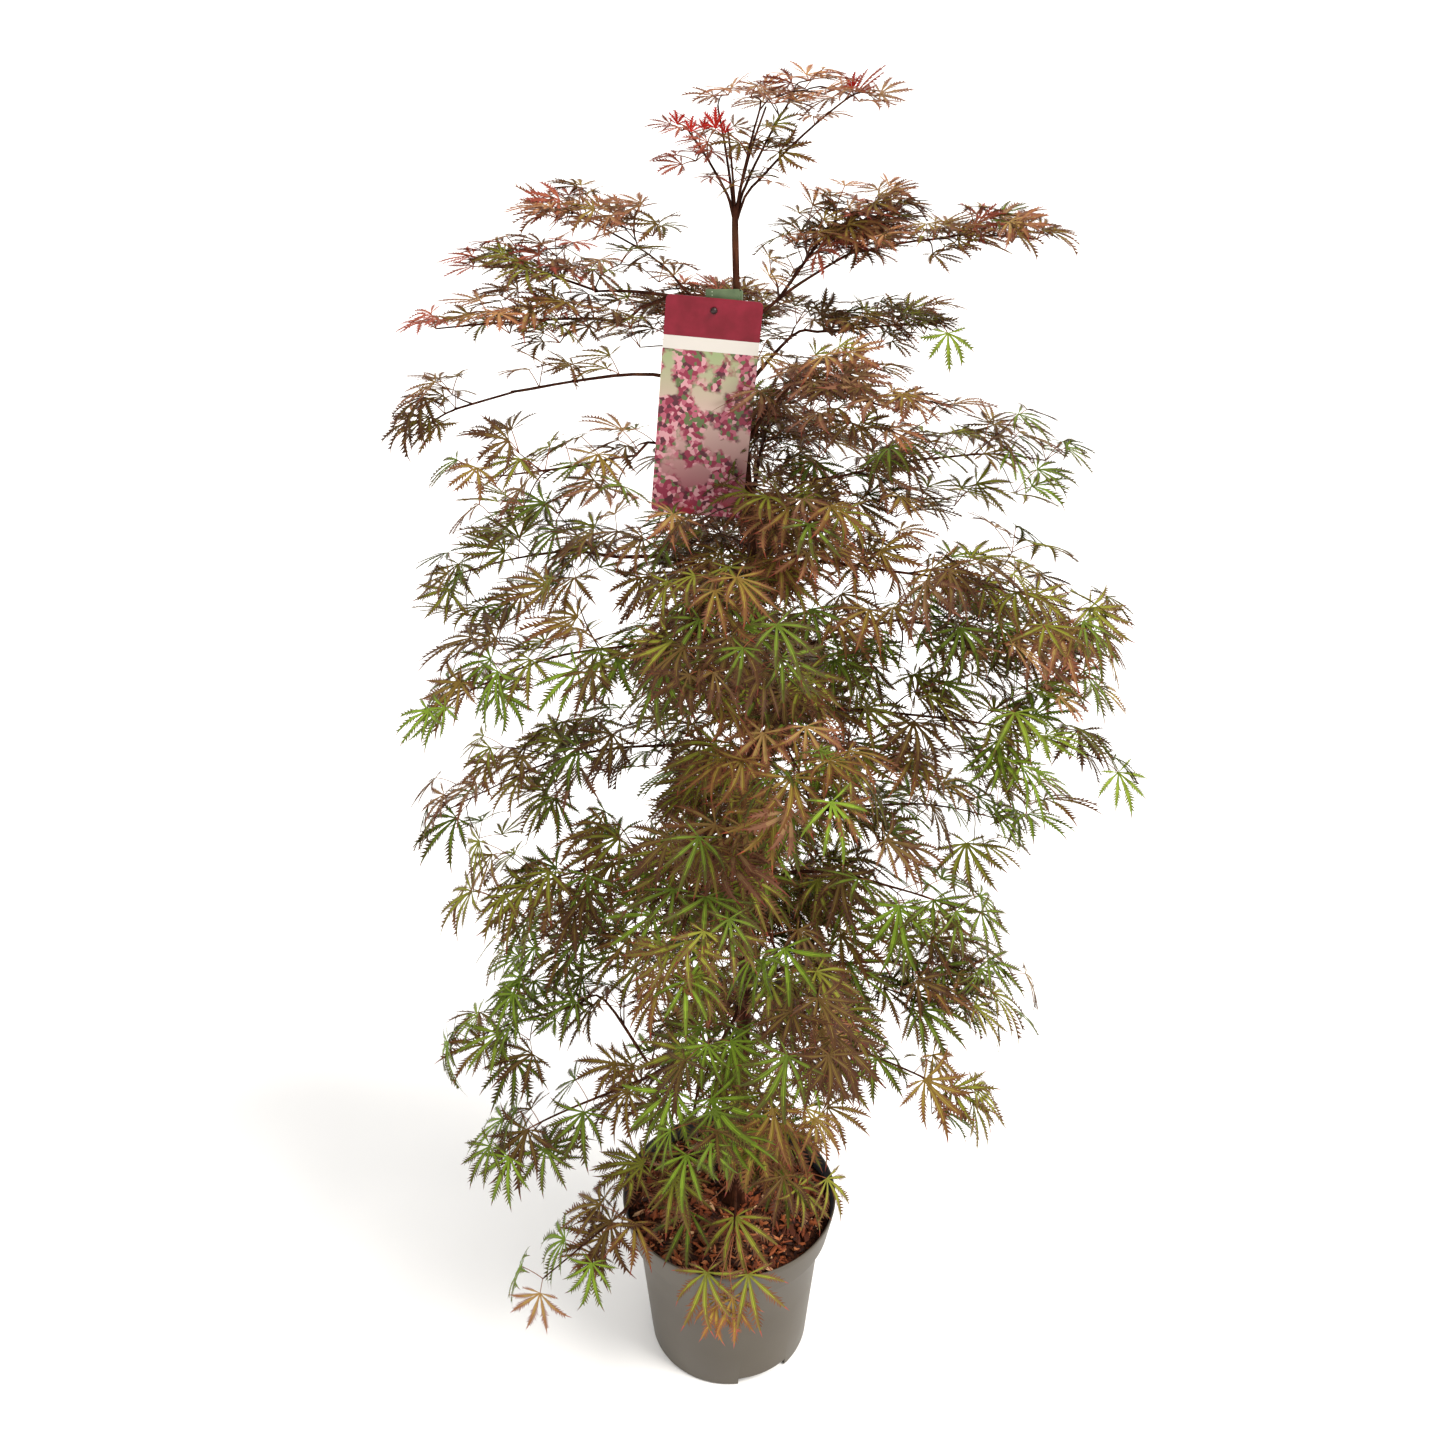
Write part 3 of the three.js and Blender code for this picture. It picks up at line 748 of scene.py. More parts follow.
def leaf_shape(lobes, droop, steps, width, random):
    """One leaf of unit length: lobes spread from the end of its stalk, forward along +X, its face up."""
    SHORT = 0.6  # lobes under this share have fewer steps
    FEWER = 0.6
    FEWEST = 4
    TURNS = (0.9, 1.1)
    TURN_SPREAD = 4
    LENGTHS = (0.86, 1.08)
    DROOPS = (0.7, 1.3)
    pile = Pile()
    for angle, share in lobes:
        for side in (1, -1) if angle else (1,):
            spread = side * angle * random.uniform(*TURNS) + random.normal(0, TURN_SPREAD)
            length = share * random.uniform(*LENGTHS)
            own_steps = steps if share > SHORT else max(FEWEST, round(FEWER * steps))
            own_droop = droop * random.uniform(*DROOPS)
            pile.add(*Lobe(spread, length, own_steps, width, own_droop, random).pile.joined())
    return pile.joined()


def leaf_shapes(forms, steps, width, key):
    """A shape for each form of leaf, which is its lobes and how much they droop."""
    return [
        leaf_shape(lobes, droop, steps, width, random_for(key, index))
        for index, (lobes, droop) in enumerate(forms)
    ]


FINE_STEPS = 8
LIGHT_STEPS = 6
YOUNG_STEPS = 5
SLENDER = 0.100  # half width of a lobe with its teeth, as a share of its length
BROAD = 0.112
FOLDED = 0.17  # and of a young lobe that hasn't spread yet
SMALL_LEAF = 0.044  # leaves shorter than this take the lighter shapes
LARGE_FORMS = [
    (SEVEN_LOBES, 0.24),
    (SEVEN_LOBES, 0.42),
    (NINE_LOBES, 0.32),
    (SEVEN_LOBES, 0.36),
    (NINE_LOBES, 0.46),
]
SMALL_FORMS = [(SEVEN_LOBES, 0.14), (SEVEN_LOBES, 0.32), (SEVEN_LOBES, 0.24)]
YOUNG_FORMS = [(YOUNG_LOBES, 0.1)] * 3
LARGE_SHAPES = leaf_shapes(LARGE_FORMS, FINE_STEPS, SLENDER, 3)
SMALL_SHAPES = leaf_shapes(SMALL_FORMS, LIGHT_STEPS, BROAD, 4)
YOUNG_SHAPES = leaf_shapes(YOUNG_FORMS, YOUNG_STEPS, FOLDED, 5)
SHAPES = LARGE_SHAPES + SMALL_SHAPES + YOUNG_SHAPES


def leaf_axes(heading, hang, roll):
    """Forward, side and face directions of a leaf that points along a heading and hangs by an angle."""
    ahead = heading_vector(heading)
    down = math.radians(hang)
    forward = math.cos(down) * ahead - math.sin(down) * UP
    side = np.array([-ahead[1], ahead[0], 0.0])
    face = np.cross(forward, side)
    turn = math.radians(roll)
    return np.array([
        forward,
        math.cos(turn) * side + math.sin(turn) * face,
        math.cos(turn) * face - math.sin(turn) * side,
    ])


class Leaves:
    """All leaves of one piece, kept until they are joined."""

    def __init__(self):
        self.shapes = []
        self.places = []
        self.axes = []
        self.sizes = []
        self.tints = []

    def add(self, place, axes, size, tint, random, young=False):
        if young:
            shape = len(LARGE_SHAPES) + len(SMALL_SHAPES) + int(random.integers(len(YOUNG_SHAPES)))
        elif size < SMALL_LEAF:
            shape = len(LARGE_SHAPES) + int(random.integers(len(SMALL_SHAPES)))
        else:
            shape = int(random.integers(len(LARGE_SHAPES)))
        mirrored = axes * np.array([[1], [random.choice([-1, 1])], [1]])
        self.shapes.append(shape)
        self.places.append(place)
        self.axes.append(mirrored)
        self.sizes.append(size)
        self.tints.append(TINT_NAMES.index(tint))

    def make(self, name, slot, nodes):
        """Joins the leaves into one piece that stands for the given masses."""
        pile = Pile()
        shapes, tints = np.array(self.shapes), np.array(self.tints)
        places, axes, sizes = np.array(self.places), np.array(self.axes), np.array(self.sizes)
        used = sorted(set(tints.tolist()))
        slot_of = {tint: len(PARTS) * k for k, tint in enumerate(used)}
        for shape in sorted(set(shapes.tolist())):
            chosen = np.flatnonzero(shapes == shape)
            vertices, triangles, parts = SHAPES[shape]
            turned = np.einsum("vk,nkc->nvc", vertices, axes[chosen])
            placed = places[chosen, None] + sizes[chosen, None, None] * turned
            offsets = np.arange(len(chosen))[:, None, None] * len(vertices)
            first = np.array([slot_of[t] for t in tints[chosen].tolist()])
            pile.add(
                placed.reshape(-1, 3),
                (triangles[None] + offsets).reshape(-1, 3),
                (first[:, None] + parts[None]).ravel(),
            )
        materials = [m for tint in used for m in LEAF_MATERIALS[TINT_NAMES[tint]]]
        piece = pile.make(name, materials, slot)
        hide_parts(*nodes)
        return piece


LEAF_MATERIALS = {
    tint: [
        plain_material(f"leaf_{tint}_{part}", colour, roughness=0.5, specular=0.10)
        for part, colour in zip(PARTS, colours)
    ]
    for tint, colours in TINTS.items()
}


def tint_for(place, random):
    """A tint by chance, by height and by distance from the trunk."""
    rows = np.array(list(TINT_ODDS.values()))
    odds = np.array([np.interp(place[2], list(TINT_ODDS), column) for column in rows.T])
    reach = np.linalg.norm((place - trunk_at(place[2]))[:2])
    if place[2] < HEIGHTS[3]:
        # Greener tints further from the trunk: painted light for leaves lit from behind
        for name, extra in OUTER_ODDS.items():
            odds[DEALT_TINTS.index(name)] += extra * np.interp(reach, OUTER_REACH, [0, 1])
    return str(random.choice(DEALT_TINTS, p=odds / odds.sum()))


# Growth


class Plant:
    """What has grown so far: wood by thickness, leaf stalks, and leaves by piece."""

    def __init__(self):
        self.boughs = Pile()
        self.twigs = Pile()
        self.stalks = Pile()
        self.leaves = {}
        self.junctions = []

    def leaves_of(self, piece):
        return self.leaves.setdefault(piece, Leaves())


plant = Plant()


class Outline:
    """The surface of all masses of foliage, to tell how far a point stands out of them."""

    def __init__(self):
        masses = Pile()
        for name, _ in foliage_nodes():
            masses.add(*node_mesh(name))
        vertices, triangles, _ = masses.joined()
        self.tree = BVHTree.FromPolygons(vertices.tolist(), triangles.tolist())

    def distance(self, point):
        """How far a point stands out of the nearest mass, level and upright; nothing inside it."""
        nearest, normal, _, _ = self.tree.find_nearest(Vector(point))
        offset = Vector(point) - nearest
        if offset.dot(normal) <= 0:
            return 0.0, 0.0
        return math.hypot(offset.x, offset.y), abs(offset.z)


outline = Outline()

LEVEL_ROOM = 0.018  # how far a leaf's tips may stand out of the masses, sideways
UPRIGHT_ROOM = 0.055  # and up or down
TAG_SIGHT = 0.29  # fall of the line of sight to the tag, as seen in the photograph
TAG_CLEAR = 0.42  # share of the card, from its top, that no leaf hides
TAG_SIDE = 0.60  # share of its width, from the left, that stays open further down
TAG_FOOT = 0.93  # share of the card, from its top, under which leaves may hang
TAG_TOP = -0.06  # and over which they may
TAG_EDGES = (-0.08, 1.05)  # shares of its width that count as the card
TAG_FACE = 0.004  # a point this far behind its face still counts as before it
POT_ROOM = 0.004  # how far leaves keep from the pot
LONG_LOBES = [
    (side * angle, share)
    for angle, share in SEVEN_LOBES[:3]
    for side in ((1, -1) if angle else (1,))
]


def leaf_tips(end, axes, size):
    """Where the tips of a leaf's longer lobes are."""
    DROOP = 0.22
    angles, shares = np.array(LONG_LOBES).T
    turns = np.radians(angles)
    reach = size * shares[:, None]
    level = np.cos(turns)[:, None] * axes[0] + np.sin(turns)[:, None] * axes[1]
    return end + reach * (level - DROOP * axes[2])


def hides_tag(points):
    """Whether any of the points comes before the part of the tag that stays in sight."""
    low, high = node_box("tag")
    seen = points[:, 2] - TAG_SIGHT * (low[1] - points[:, 1])  # height at which it covers the card
    down = (high[2] - seen) / (high[2] - low[2])
    lean = math.tan(math.radians(TAG_LEAN)) * TAG_HEIGHT
    width = high[0] - low[0] - lean
    across = (points[:, 0] - (low[0] + lean * (1 - down))) / width
    before = (points[:, 1] < low[1] + TAG_FACE) & (down > TAG_TOP) & (down < TAG_FOOT)
    open_part = ((down < TAG_CLEAR) & (across < TAG_EDGES[1])) | (across < TAG_SIDE)
    return bool(np.any(before & (across > TAG_EDGES[0]) & open_part))


def in_pot(points):
    """Whether any of the points is inside the pot or its rim."""
    away = np.hypot(points[:, 0], points[:, 1])
    return bool(np.any((away < RIM_RADIUS + POT_ROOM) & (points[:, 2] < POT_HEIGHT + POT_ROOM)))


def fits(end, axes, size, free):
    """Whether a leaf keeps to the masses, out of the pot, and off the open part of the tag."""
    tips = leaf_tips(end, axes, size)
    inner = end + 0.5 * (tips - end)
    if in_pot(tips) or hides_tag(np.concatenate([tips, inner, end[None]])):
        return False
    if free:
        return True
    rooms = [outline.distance(tip) for tip in tips]
    return all(level < LEVEL_ROOM and upright < UPRIGHT_ROOM for level, upright in rooms)


def crowded(end, size):
    """Whether another leaf already starts close to a place."""
    SPACE = 0.26  # share of the leaf's length
    if not plant.junctions:
        return False
    return np.linalg.norm(np.array(plant.junctions) - end, axis=1).min() < SPACE * size


def stalk_way(node, heading, rise, random):
    """How long a leaf's stalk is, and which way it takes from the twig."""
    RISE_SPREAD = 13
    TURN_SPREAD = 22
    LENGTHS = (0.7, 1.25)  # against the usual one at that height
    up = math.radians(rise + random.normal(0, RISE_SPREAD))
    length = at_height(LEAF_STALK, node[2]) * random.uniform(*LENGTHS)
    level = heading_vector(heading + random.normal(0, TURN_SPREAD))
    return length, math.cos(up) * level + math.sin(up) * UP


def leaf_stance(end, heading, hang, hang_spread, random):
    """A leaf's axes: it points partly along a heading, partly away from the trunk, and partly by chance."""
    ALONG = 0.6
    OUTWARD = 0.45
    CHANCE = 0.24
    ROLL_SPREAD = 18
    outward = level_unit(end - trunk_at(end[2]))
    way = ALONG * heading_vector(heading) + OUTWARD * outward + CHANCE * random.normal(size=3)
    hang = hang + random.normal(0, hang_spread)
    return leaf_axes(level_heading(way), hang, random.normal(0, ROLL_SPREAD))


def add_leaf(piece, node, heading, tint, random, size=1.0, rise=None, hang=None, free=False):
    """A stalk from a twig and the leaf at its end. size is a factor on the usual size at that height."""
    TRIES = 8
    SHRINK = 0.96  # each further try is a little smaller
    SIZES = (0.8, 1.14)
    BOW = 0.06  # share of the stalk's length
    RADII = [0.0006, 0.0005, 0.0005, 0.0005]
    height = node[2]
    size = size * at_height(LEAF_LENGTH, height) * random.uniform(*SIZES)
    rise = at_height(STALK_RISE, height) if rise is None else rise
    hang = at_height(LEAF_HANG, height) if hang is None else hang
    for _ in range(TRIES):
        length, way = stalk_way(node, heading, rise, random)
        end = node + length * way
        axes = leaf_stance(end, heading, hang, at_height(HANG_SPREAD, height), random)
        if not crowded(end, size) and fits(end, axes, size, free):
            bowed = node + 0.5 * length * way + BOW * length * UP
            stalk = smooth_curve([node, bowed, end], len(RADII))
            plant.stalks.add(*tube(stalk, RADII, 3))
            plant.junctions.append(end)
            plant.leaves_of(piece).add(end, axes, size, tint, random)
            return
        size *= SHRINK


def leaf_pairs(piece, path, first, tint, random, free=False):
    """Opposite leaves along a limb, from a share of its length on. A missing tint is dealt out."""
    STRAY = 0.04  # shares of the limb
    LAST = 0.95
    BESIDE = 0.05  # the limb's way is measured this far on both sides
    APART = (42, 78)  # degrees from the limb's way
    length = path_length(path)
    pairs = max(0, round((1 - first) * length / at_height(PAIR_GAP, path[-1][2])))
    for share in np.linspace(first, 1, pairs + 1)[:-1]:
        share = min(LAST, share + random.uniform(-STRAY, STRAY))
        node = along_curve(path, share)
        way = along_curve(path, min(1, share + BESIDE)) - along_curve(path, share - BESIDE)
        pair_tint = tint if tint and random.random() > OWN_TINT else tint_for(node, random)
        for side in (-1, 1):
            heading = level_heading(way) + side * random.uniform(*APART)
            add_leaf(piece, node, heading, pair_tint, random, free=free)


def leafy_twig(piece, path, tint, random, first=0.3, red_tip=False, free=False):
    """Leaf pairs along a twig and a spray of leaves at its end."""
    FAN = (0, -48, 48)
    FAN_SPREAD = 8
    REDDISH = 0.7  # chance on a red tip
    SIZE = 0.95
    leaf_pairs(piece, path, first, tint, random, free)
    ahead = level_heading(path[-1] - path[-2])
    for turn in FAN:
        reddish = red_tip and random.random() < REDDISH
        own = tint_for(path[-1], random) if random.random() < OWN_TINT else tint
        heading = ahead + turn + random.normal(0, FAN_SPREAD)
        add_leaf(piece, path[-1], heading, "ruby" if reddish else own, random, size=SIZE, free=free)


class Wood:
    """Limbs that new twigs may start from: their points, with the way the limb runs there."""

    def __init__(self):
        self.points = np.zeros((0, 3))
        self.ways = np.zeros((0, 3))
        self.radii = np.zeros(0)

    def add(self, path, radii):
        ways = np.gradient(path, axis=0)
        self.points = np.vstack([self.points, path])
        self.ways = np.vstack([self.ways, ways / np.linalg.norm(ways, axis=1)[:, None]])
        self.radii = np.concatenate([self.radii, radii])

    def best_start(self, place):
        """The cheapest point to reach a place from: near, and with the place ahead of it."""
        SIDEWAYS = 1.7  # cost of a metre to a place square to the limb; straight ahead it costs 1 less
        LEAST_AHEAD = 0.2
        PENALTY = 0.05  # for a place that is less ahead than that
        offset = place - self.points
        distance = np.linalg.norm(offset, axis=1)
        ahead = (offset * self.ways).sum(axis=1) / np.maximum(distance, 1e-6)
        cost = distance * (SIDEWAYS - ahead) + np.where(ahead < LEAST_AHEAD, PENALTY, 0)
        index = int(cost.argmin())
        return index, float(cost[index])

    def cheapest_first(self, places):
        """Each place with the point to reach it from. The wood may grow between two of them."""
        while places:
            starts = [self.best_start(place) for place in places]
            chosen = int(np.argmin([cost for _, cost in starts]))
            yield places.pop(chosen), starts[chosen][0]

    def twig_to(self, place, index, random):
        """The path of a twig from one of the points to a place."""
        return twig_path(self.points[index], self.ways[index], place, random)


def twig_path(start, way, end, random):
    """A twig that leaves a limb partly along it, bows upwards and ends at a place."""
    ALONG = 0.13  # shares of the length
    BOW = 0.10
    STRAY = 0.04
    POINTS = 6
    length = np.linalg.norm(end - start)
    ahead = (end - start) / length
    middle = (start + end) / 2 + ALONG * length * (way - ahead) + BOW * length * UP
    middle = middle + STRAY * length * random.normal(size=3)
    return smooth_curve([start, middle, end], POINTS)


def add_twig(path, thick=0.0010, thin=0.0005):
    radii = np.linspace(thick, thin, len(path))
    plant.twigs.add(*tube(path, radii, 4))
    return radii


def bark_relief(random):
    """Small swellings along a limb and ribs round it."""
    KNOTS = 0.06  # factors on the radius
    RIBS = 0.05
    RIB_COUNT = 3
    phase = random.uniform(0, 2 * math.pi, 3)

    def factor(path, turn):
        run = np.linspace(0, path_length(path), len(path))[:, None]
        knots = KNOTS * np.sin(run / 0.009 + phase[0]) + KNOTS * np.sin(run / 0.023 + phase[1])
        ribs = RIBS * np.sin(RIB_COUNT * turn[None] + run / 0.03 + phase[2])
        return 1 + knots + ribs

    return factor


def add_bough(path, thick, thin, random, collar):
    """A tapering limb, whose foot swells to a collar by a share; gives the radii without it."""
    TAPER = 0.8
    COLLAR_LENGTH = 0.008
    SIDES = 8
    run = np.linspace(0, 1, len(path))
    radii = thick + (thin - thick) * run**TAPER
    swollen = radii * (1 + collar * np.exp(-run * path_length(path) / COLLAR_LENGTH))
    plant.boughs.add(*tube(path, swollen, SIDES, bark_relief(random)))
    return radii


class Mass:
    """A mass of foliage as measured: its middle line, with the half width and half depth along it."""

    def __init__(self, node):
        points = surface_points(node, NODE_POINTS, random_for(6))
        centre = points.mean(axis=0)
        self.along = level_unit(centre - trunk_at(centre[2]))
        self.across = np.array([-self.along[1], self.along[0], 0.0])
        self.line, self.widths, self.depths = sliced(points, self.along, MASS_SLICES)
        self.reach = float((self.line[-1] - self.line[0]) @ self.along)

    def at(self, share):
        return along_curve(self.line, share)

    def width(self, share):
        return value_along(self.widths, share)

    def depth(self, share):
        return value_along(self.depths, share)

    def spread_places(self, gap, inset, random):
        """Places all through the mass, kept off its surface, and none closer than a gap to another."""
        TRIES = 600
        FLAT = np.array([1, 1, 1.6])  # sprays are level, so they may be closer above each other
        FIRST = 0.04  # shares of the mass's length
        LEAST_LAST = 0.3
        LEAST_WIDTH, WIDTH_INSET = 0.25, 0.9  # shares of its half width and of the inset
        LEAST_DEPTH, DEPTH_INSET = 0.4, 0.25
        last = max(LEAST_LAST, 1 - inset / self.reach)
        places = []
        for _ in range(TRIES):
            share = random.uniform(FIRST, last)
            turn = random.uniform(0, 2 * math.pi)
            out = math.sqrt(random.uniform(0, 1))
            width = max(LEAST_WIDTH * self.width(share), self.width(share) - WIDTH_INSET * inset)
            middle = self.at(share)
            depth = max(LEAST_DEPTH * self.depth(share), self.depth(share) - DEPTH_INSET * inset)
            depth += at_height(SPRAY_DEPTH, middle[2])
            place = middle + out * (math.cos(turn) * width * self.across + math.sin(turn) * depth * UP)
            if all(np.linalg.norm(FLAT * (place - other)) > gap for other in places):
                places.append(place)
        return places


def behind_tag(path):
    """A path kept behind the tag wherever it would pass before it."""
    CLEAR = 0.010
    low, high = node_box("tag")
    beside = (path[:, 0] > low[0] - CLEAR) & (path[:, 0] < high[0] + CLEAR) & (path[:, 2] > low[2] - CLEAR)
    path[beside, 1] = np.maximum(path[beside, 1], high[1] + CLEAR)
    return path


def bough_path(mass, foot):
    """From a foot on the trunk or a limb through a mass, above its middle line, and out to near its tip."""
    CLEAR = 0.05  # the bough joins the mass's line this far out from its foot
    JOINS_FROM, JOINS_TO = 0.1, 0.7  # and between these shares of the line
    OVER = 0.2  # share of the half depth
    END_INSET = 0.9  # in leaves
    VIA = 6
    POINTS = 26
    inset = END_INSET * at_height(LEAF_LENGTH, mass.line[-1][2])
    joined = max(JOINS_FROM, ((foot - mass.line[0]) @ mass.along + CLEAR) / mass.reach)
    shares = np.linspace(min(joined, JOINS_TO), 1 - inset / mass.reach, VIA)
    points = [mass.at(s) + OVER * mass.depth(s) * UP for s in shares]
    return behind_tag(smooth_curve([foot, *points], POINTS))


def grow_sprays(name, mass, wood, piece, main_tint, random):
    """Twigs that fork through a mass to places spread all over it, with leaves on them."""
    NEAR = 0.012  # a place this close to the wood needs no twig
    THICKEST = 0.0011
    THINNER = 0.85  # than the wood that it starts from
    height = float(mass.line[:, 2].mean())
    gap = at_height(SPRAY_GAP, height) / math.sqrt(DENSITY.get(name, 1.0))
    places = mass.spread_places(gap, at_height(LEAF_LENGTH, height), random)
    for place, index in wood.cheapest_first(places):
        twig = wood.twig_to(place, index, random)
        if path_length(twig) < NEAR or hides_tag(twig):
            continue
        thick = min(THICKEST, THINNER * wood.radii[index])
        wood.add(twig[1:], add_twig(twig, thick)[1:])
        tint = main_tint if random.random() < SAME_TINT else tint_for(place, random)
        leafy_twig(piece, twig, tint, random)


def grow_accents(name, wood, piece, random):
    """The single leaves of a mass that stand out, each on a stalk of its own."""
    FRONT = -90
    FACE_FRONT = ("red", "fresh")  # tints of the leaves that face there
    SPREAD = 8
    STALK_RADII = (0.0008, 0.0005)
    for place, tint, hang, size in ACCENTS.get(name, []):
        end = np.array(place)
        index, _ = wood.best_start(end)
        stalk = wood.twig_to(end, index, random)
        plant.stalks.add(*tube(stalk, np.linspace(*STALK_RADII, len(stalk)), 3))
        heading = FRONT if tint in FACE_FRONT else level_heading(end - trunk_at(end[2]))
        axes = leaf_axes(heading + random.normal(0, SPREAD), hang, random.normal(0, SPREAD))
        plant.junctions.append(end)
        length = size * at_height(LEAF_LENGTH, end[2])
        plant.leaves_of(piece).add(end, axes, length, tint, random, young=tint == "red")


COLLAR = 0.5  # how much a bough swells where it leaves the trunk


def grow_mass(name, mass, foot, thick, piece, random):
    """A bough through a mass, twigs that fill it, and leaves on them all."""
    THIN = 0.0007
    TIP_FROM = 0.8  # shares of the bough
    BARE_TO = 0.25
    PAIRS_TO = 0.85
    path = bough_path(mass, foot)
    wood = Wood()
    wood.add(path, add_bough(path, thick, THIN, random, 0.0 if name in CARRIERS else COLLAR))
    grow_accents(name, wood, piece, random)
    main_tint = MAIN_TINTS.get(name) or tint_for(path[-1], random)
    if name in SINGLE_LEAVES:
        return
    tip = np.array([along_curve(path, share) for share in np.linspace(TIP_FROM, 1, 5)])
    leafy_twig(piece, tip, main_tint, random, first=0.1, red_tip=name in RED_TIPS)
    leaf_pairs(piece, path[: int(PAIRS_TO * len(path))], BARE_TO, None, random)
    grow_sprays(name, mass, wood, piece, main_tint, random)


def grow_inner_shoots():
    """Short shoots on the trunk itself that close the middle of the crown; their darker leaves are painted
    shade there.
    """
    LOW, HIGH = 0.30, 1.17
    SHORTEST = 0.03
    RISE = 0.035  # at most
    OLIVE_FROM, BRONZE_FROM = 0.6, 1.0  # heights; the lowest are green
    for index, (count, first, last, longest) in enumerate(INNER_SHOOTS):
        random = random_for(10, index)
        for height in np.linspace(LOW, HIGH, count):
            start = trunk_at(height)
            way = heading_vector(random.uniform(first, last))
            end = start + random.uniform(SHORTEST, longest) * way + random.uniform(0.0, RISE) * UP
            twig = twig_path(start, way, end, random)
            if hides_tag(twig):
                continue
            add_twig(twig)
            zone = "bronze" if height > BRONZE_FROM else "olive" if height > OLIVE_FROM else "green"
            side = "front" if way[1] < 0 else "back"
            tint = str(random.choice(INNER_SHADE_TINTS))
            leafy_twig(f"leaves_{side}_{zone}", twig, tint, random, first=0.9, free=True)


STEM_SIDES = 6


def grow_stem_pairs(name, stem, random):
    """Small leaves low on one of the thin stems, the lower the smaller."""
    STRAY = 0.06  # share of the stem
    APART = (40, 100)
    SMALLEST = 0.55
    LARGER = 0.3
    RISE = 25
    piece = "leaves_crown_red" if name == "stem_far_left" else "leaves_crown_bronze"
    ahead = level_heading(stem[-1] - stem[0])
    for share in STEM_PAIRS:
        node = along_curve(stem, min(1, share + random.uniform(-STRAY, STRAY)))
        size = SMALLEST + LARGER * share
        for side in (-1, 1):
            heading = ahead + side * random.uniform(*APART)
            add_leaf(piece, node, heading, STEM_TINTS[name], random, size=size, rise=RISE, free=True)


def grow_stems(stems):
    """The thin stems at the top, with small leaves low on them; gives the wood that twigs can start from."""
    RADII = (0.0013, 0.0007)
    FOOT = 0.016  # how far under the fork a stem starts
    POINTS = 18
    BARE = 4  # points from which no twig starts
    fork = TRUNK[-1, 2]
    wood = Wood()
    for index, name in enumerate(sorted(stems)):
        stem = smooth_curve([trunk_at(fork - FOOT), *limb_line(name)[1:]], POINTS)
        radii = np.linspace(*RADII, len(stem))
        plant.boughs.add(*tube(stem, radii, STEM_SIDES))
        wood.add(stem[BARE:], radii[BARE:])
        grow_stem_pairs(name, stem, random_for(7, index))
    return wood


def grow_stubs():
    """The leafless stubs between the stems."""
    RADII = (0.0010, 0.0008)
    BOW = 0.004
    POINTS = 8
    top = TRUNK[-1]
    for tip in BARE_STEMS:
        middle = 0.5 * (top + np.array(tip)) + BOW * UP
        stub = smooth_curve([top - BOW * UP, middle, tip], POINTS)
        plant.boughs.add(*tube(stub, np.linspace(*RADII, len(stub)), STEM_SIDES))


def grow_crown(name, piece, wood, random):
    """Level sprays through one of the crown's thin masses, from twigs on the stems."""
    INSET = 0.010
    LOWER = 0.006  # leaf stalks rise by about this much
    THICK = 0.0007
    REDDISH = 0.6  # chance in the red mass
    FAN = (-50, 0, 50, 180)
    FAN_SPREAD = 12
    SIZE, RISE, HANG = 0.95, 12, 4
    places = Mass(name).spread_places(CROWN_GAP[name], INSET, random)
    for place, index in wood.cheapest_first(places):
        place = place - LOWER * UP
        twig = wood.twig_to(place, index, random)
        wood.add(twig[1:], add_twig(twig, THICK)[1:])
        reddish = name == "crown_left_red" and random.random() < REDDISH
        tint = "ruby" if reddish else tint_for(place, random)
        ahead = level_heading(place - TRUNK[-1])
        for turn in FAN:
            heading = ahead + turn + random.normal(0, FAN_SPREAD)
            add_leaf(piece, place, heading, tint, random, size=SIZE, rise=RISE, hang=HANG)
    grow_accents(name, wood, piece, random)


def piece_name(node, slot):
    """The leaf piece that a mass belongs to: by its side of the plant and its colour."""
    return f"leaves_{node.split('_')[0]}_{slot.removeprefix('foliage_')}"


def grow_boughs(boughs):
    """The boughs that are nodes of their own; gives their lines and the radii along them."""
    POINTS = 14
    lines, radii = {}, {}
    for index, name in enumerate(boughs):
        lines[name] = smooth_curve(limb_line(name), POINTS)
        collar = 0.0 if name == "bough_left_riser" else COLLAR
        radii[name] = add_bough(lines[name], *BOUGH_RADII[name], random_for(8, index), collar)
    return lines, radii


def mass_foot(name, mass, lines, radii):
    """Where the bough through a mass starts, and its radius there."""
    BELOW = 0.035  # it leaves the trunk this far under the mass
    if name in CARRIERS:
        carrier, share = CARRIERS[name]
        return along_curve(lines[carrier], share), value_along(radii[carrier], share)
    foot = trunk_at(mass.line[0][2] - BELOW)
    return foot, at_height(BOUGH_FOOT, foot[2])


def grow_arm_leaves(name, piece, lines, random):
    """Leaves on the bare part of a bough, which belong to the mass at its end."""
    for bough, (mass_name, first, tint) in ARM_LEAVES.items():
        if mass_name == name:
            leaf_pairs(piece, lines[bough], first, tint, random, free=True)


def grow_foliage(boughs):
    """Every mass with its bough, twigs and leaves."""
    lines, radii = grow_boughs(boughs)
    for index, (name, slot) in enumerate(foliage_nodes()):
        if name.startswith("crown"):
            continue
        mass = Mass(name)
        piece = piece_name(name, slot)
        foot, thick = mass_foot(name, mass, lines, radii)
        grow_mass(name, mass, foot, thick, piece, random_for(9, index))
        grow_arm_leaves(name, piece, lines, random_for(13, index))


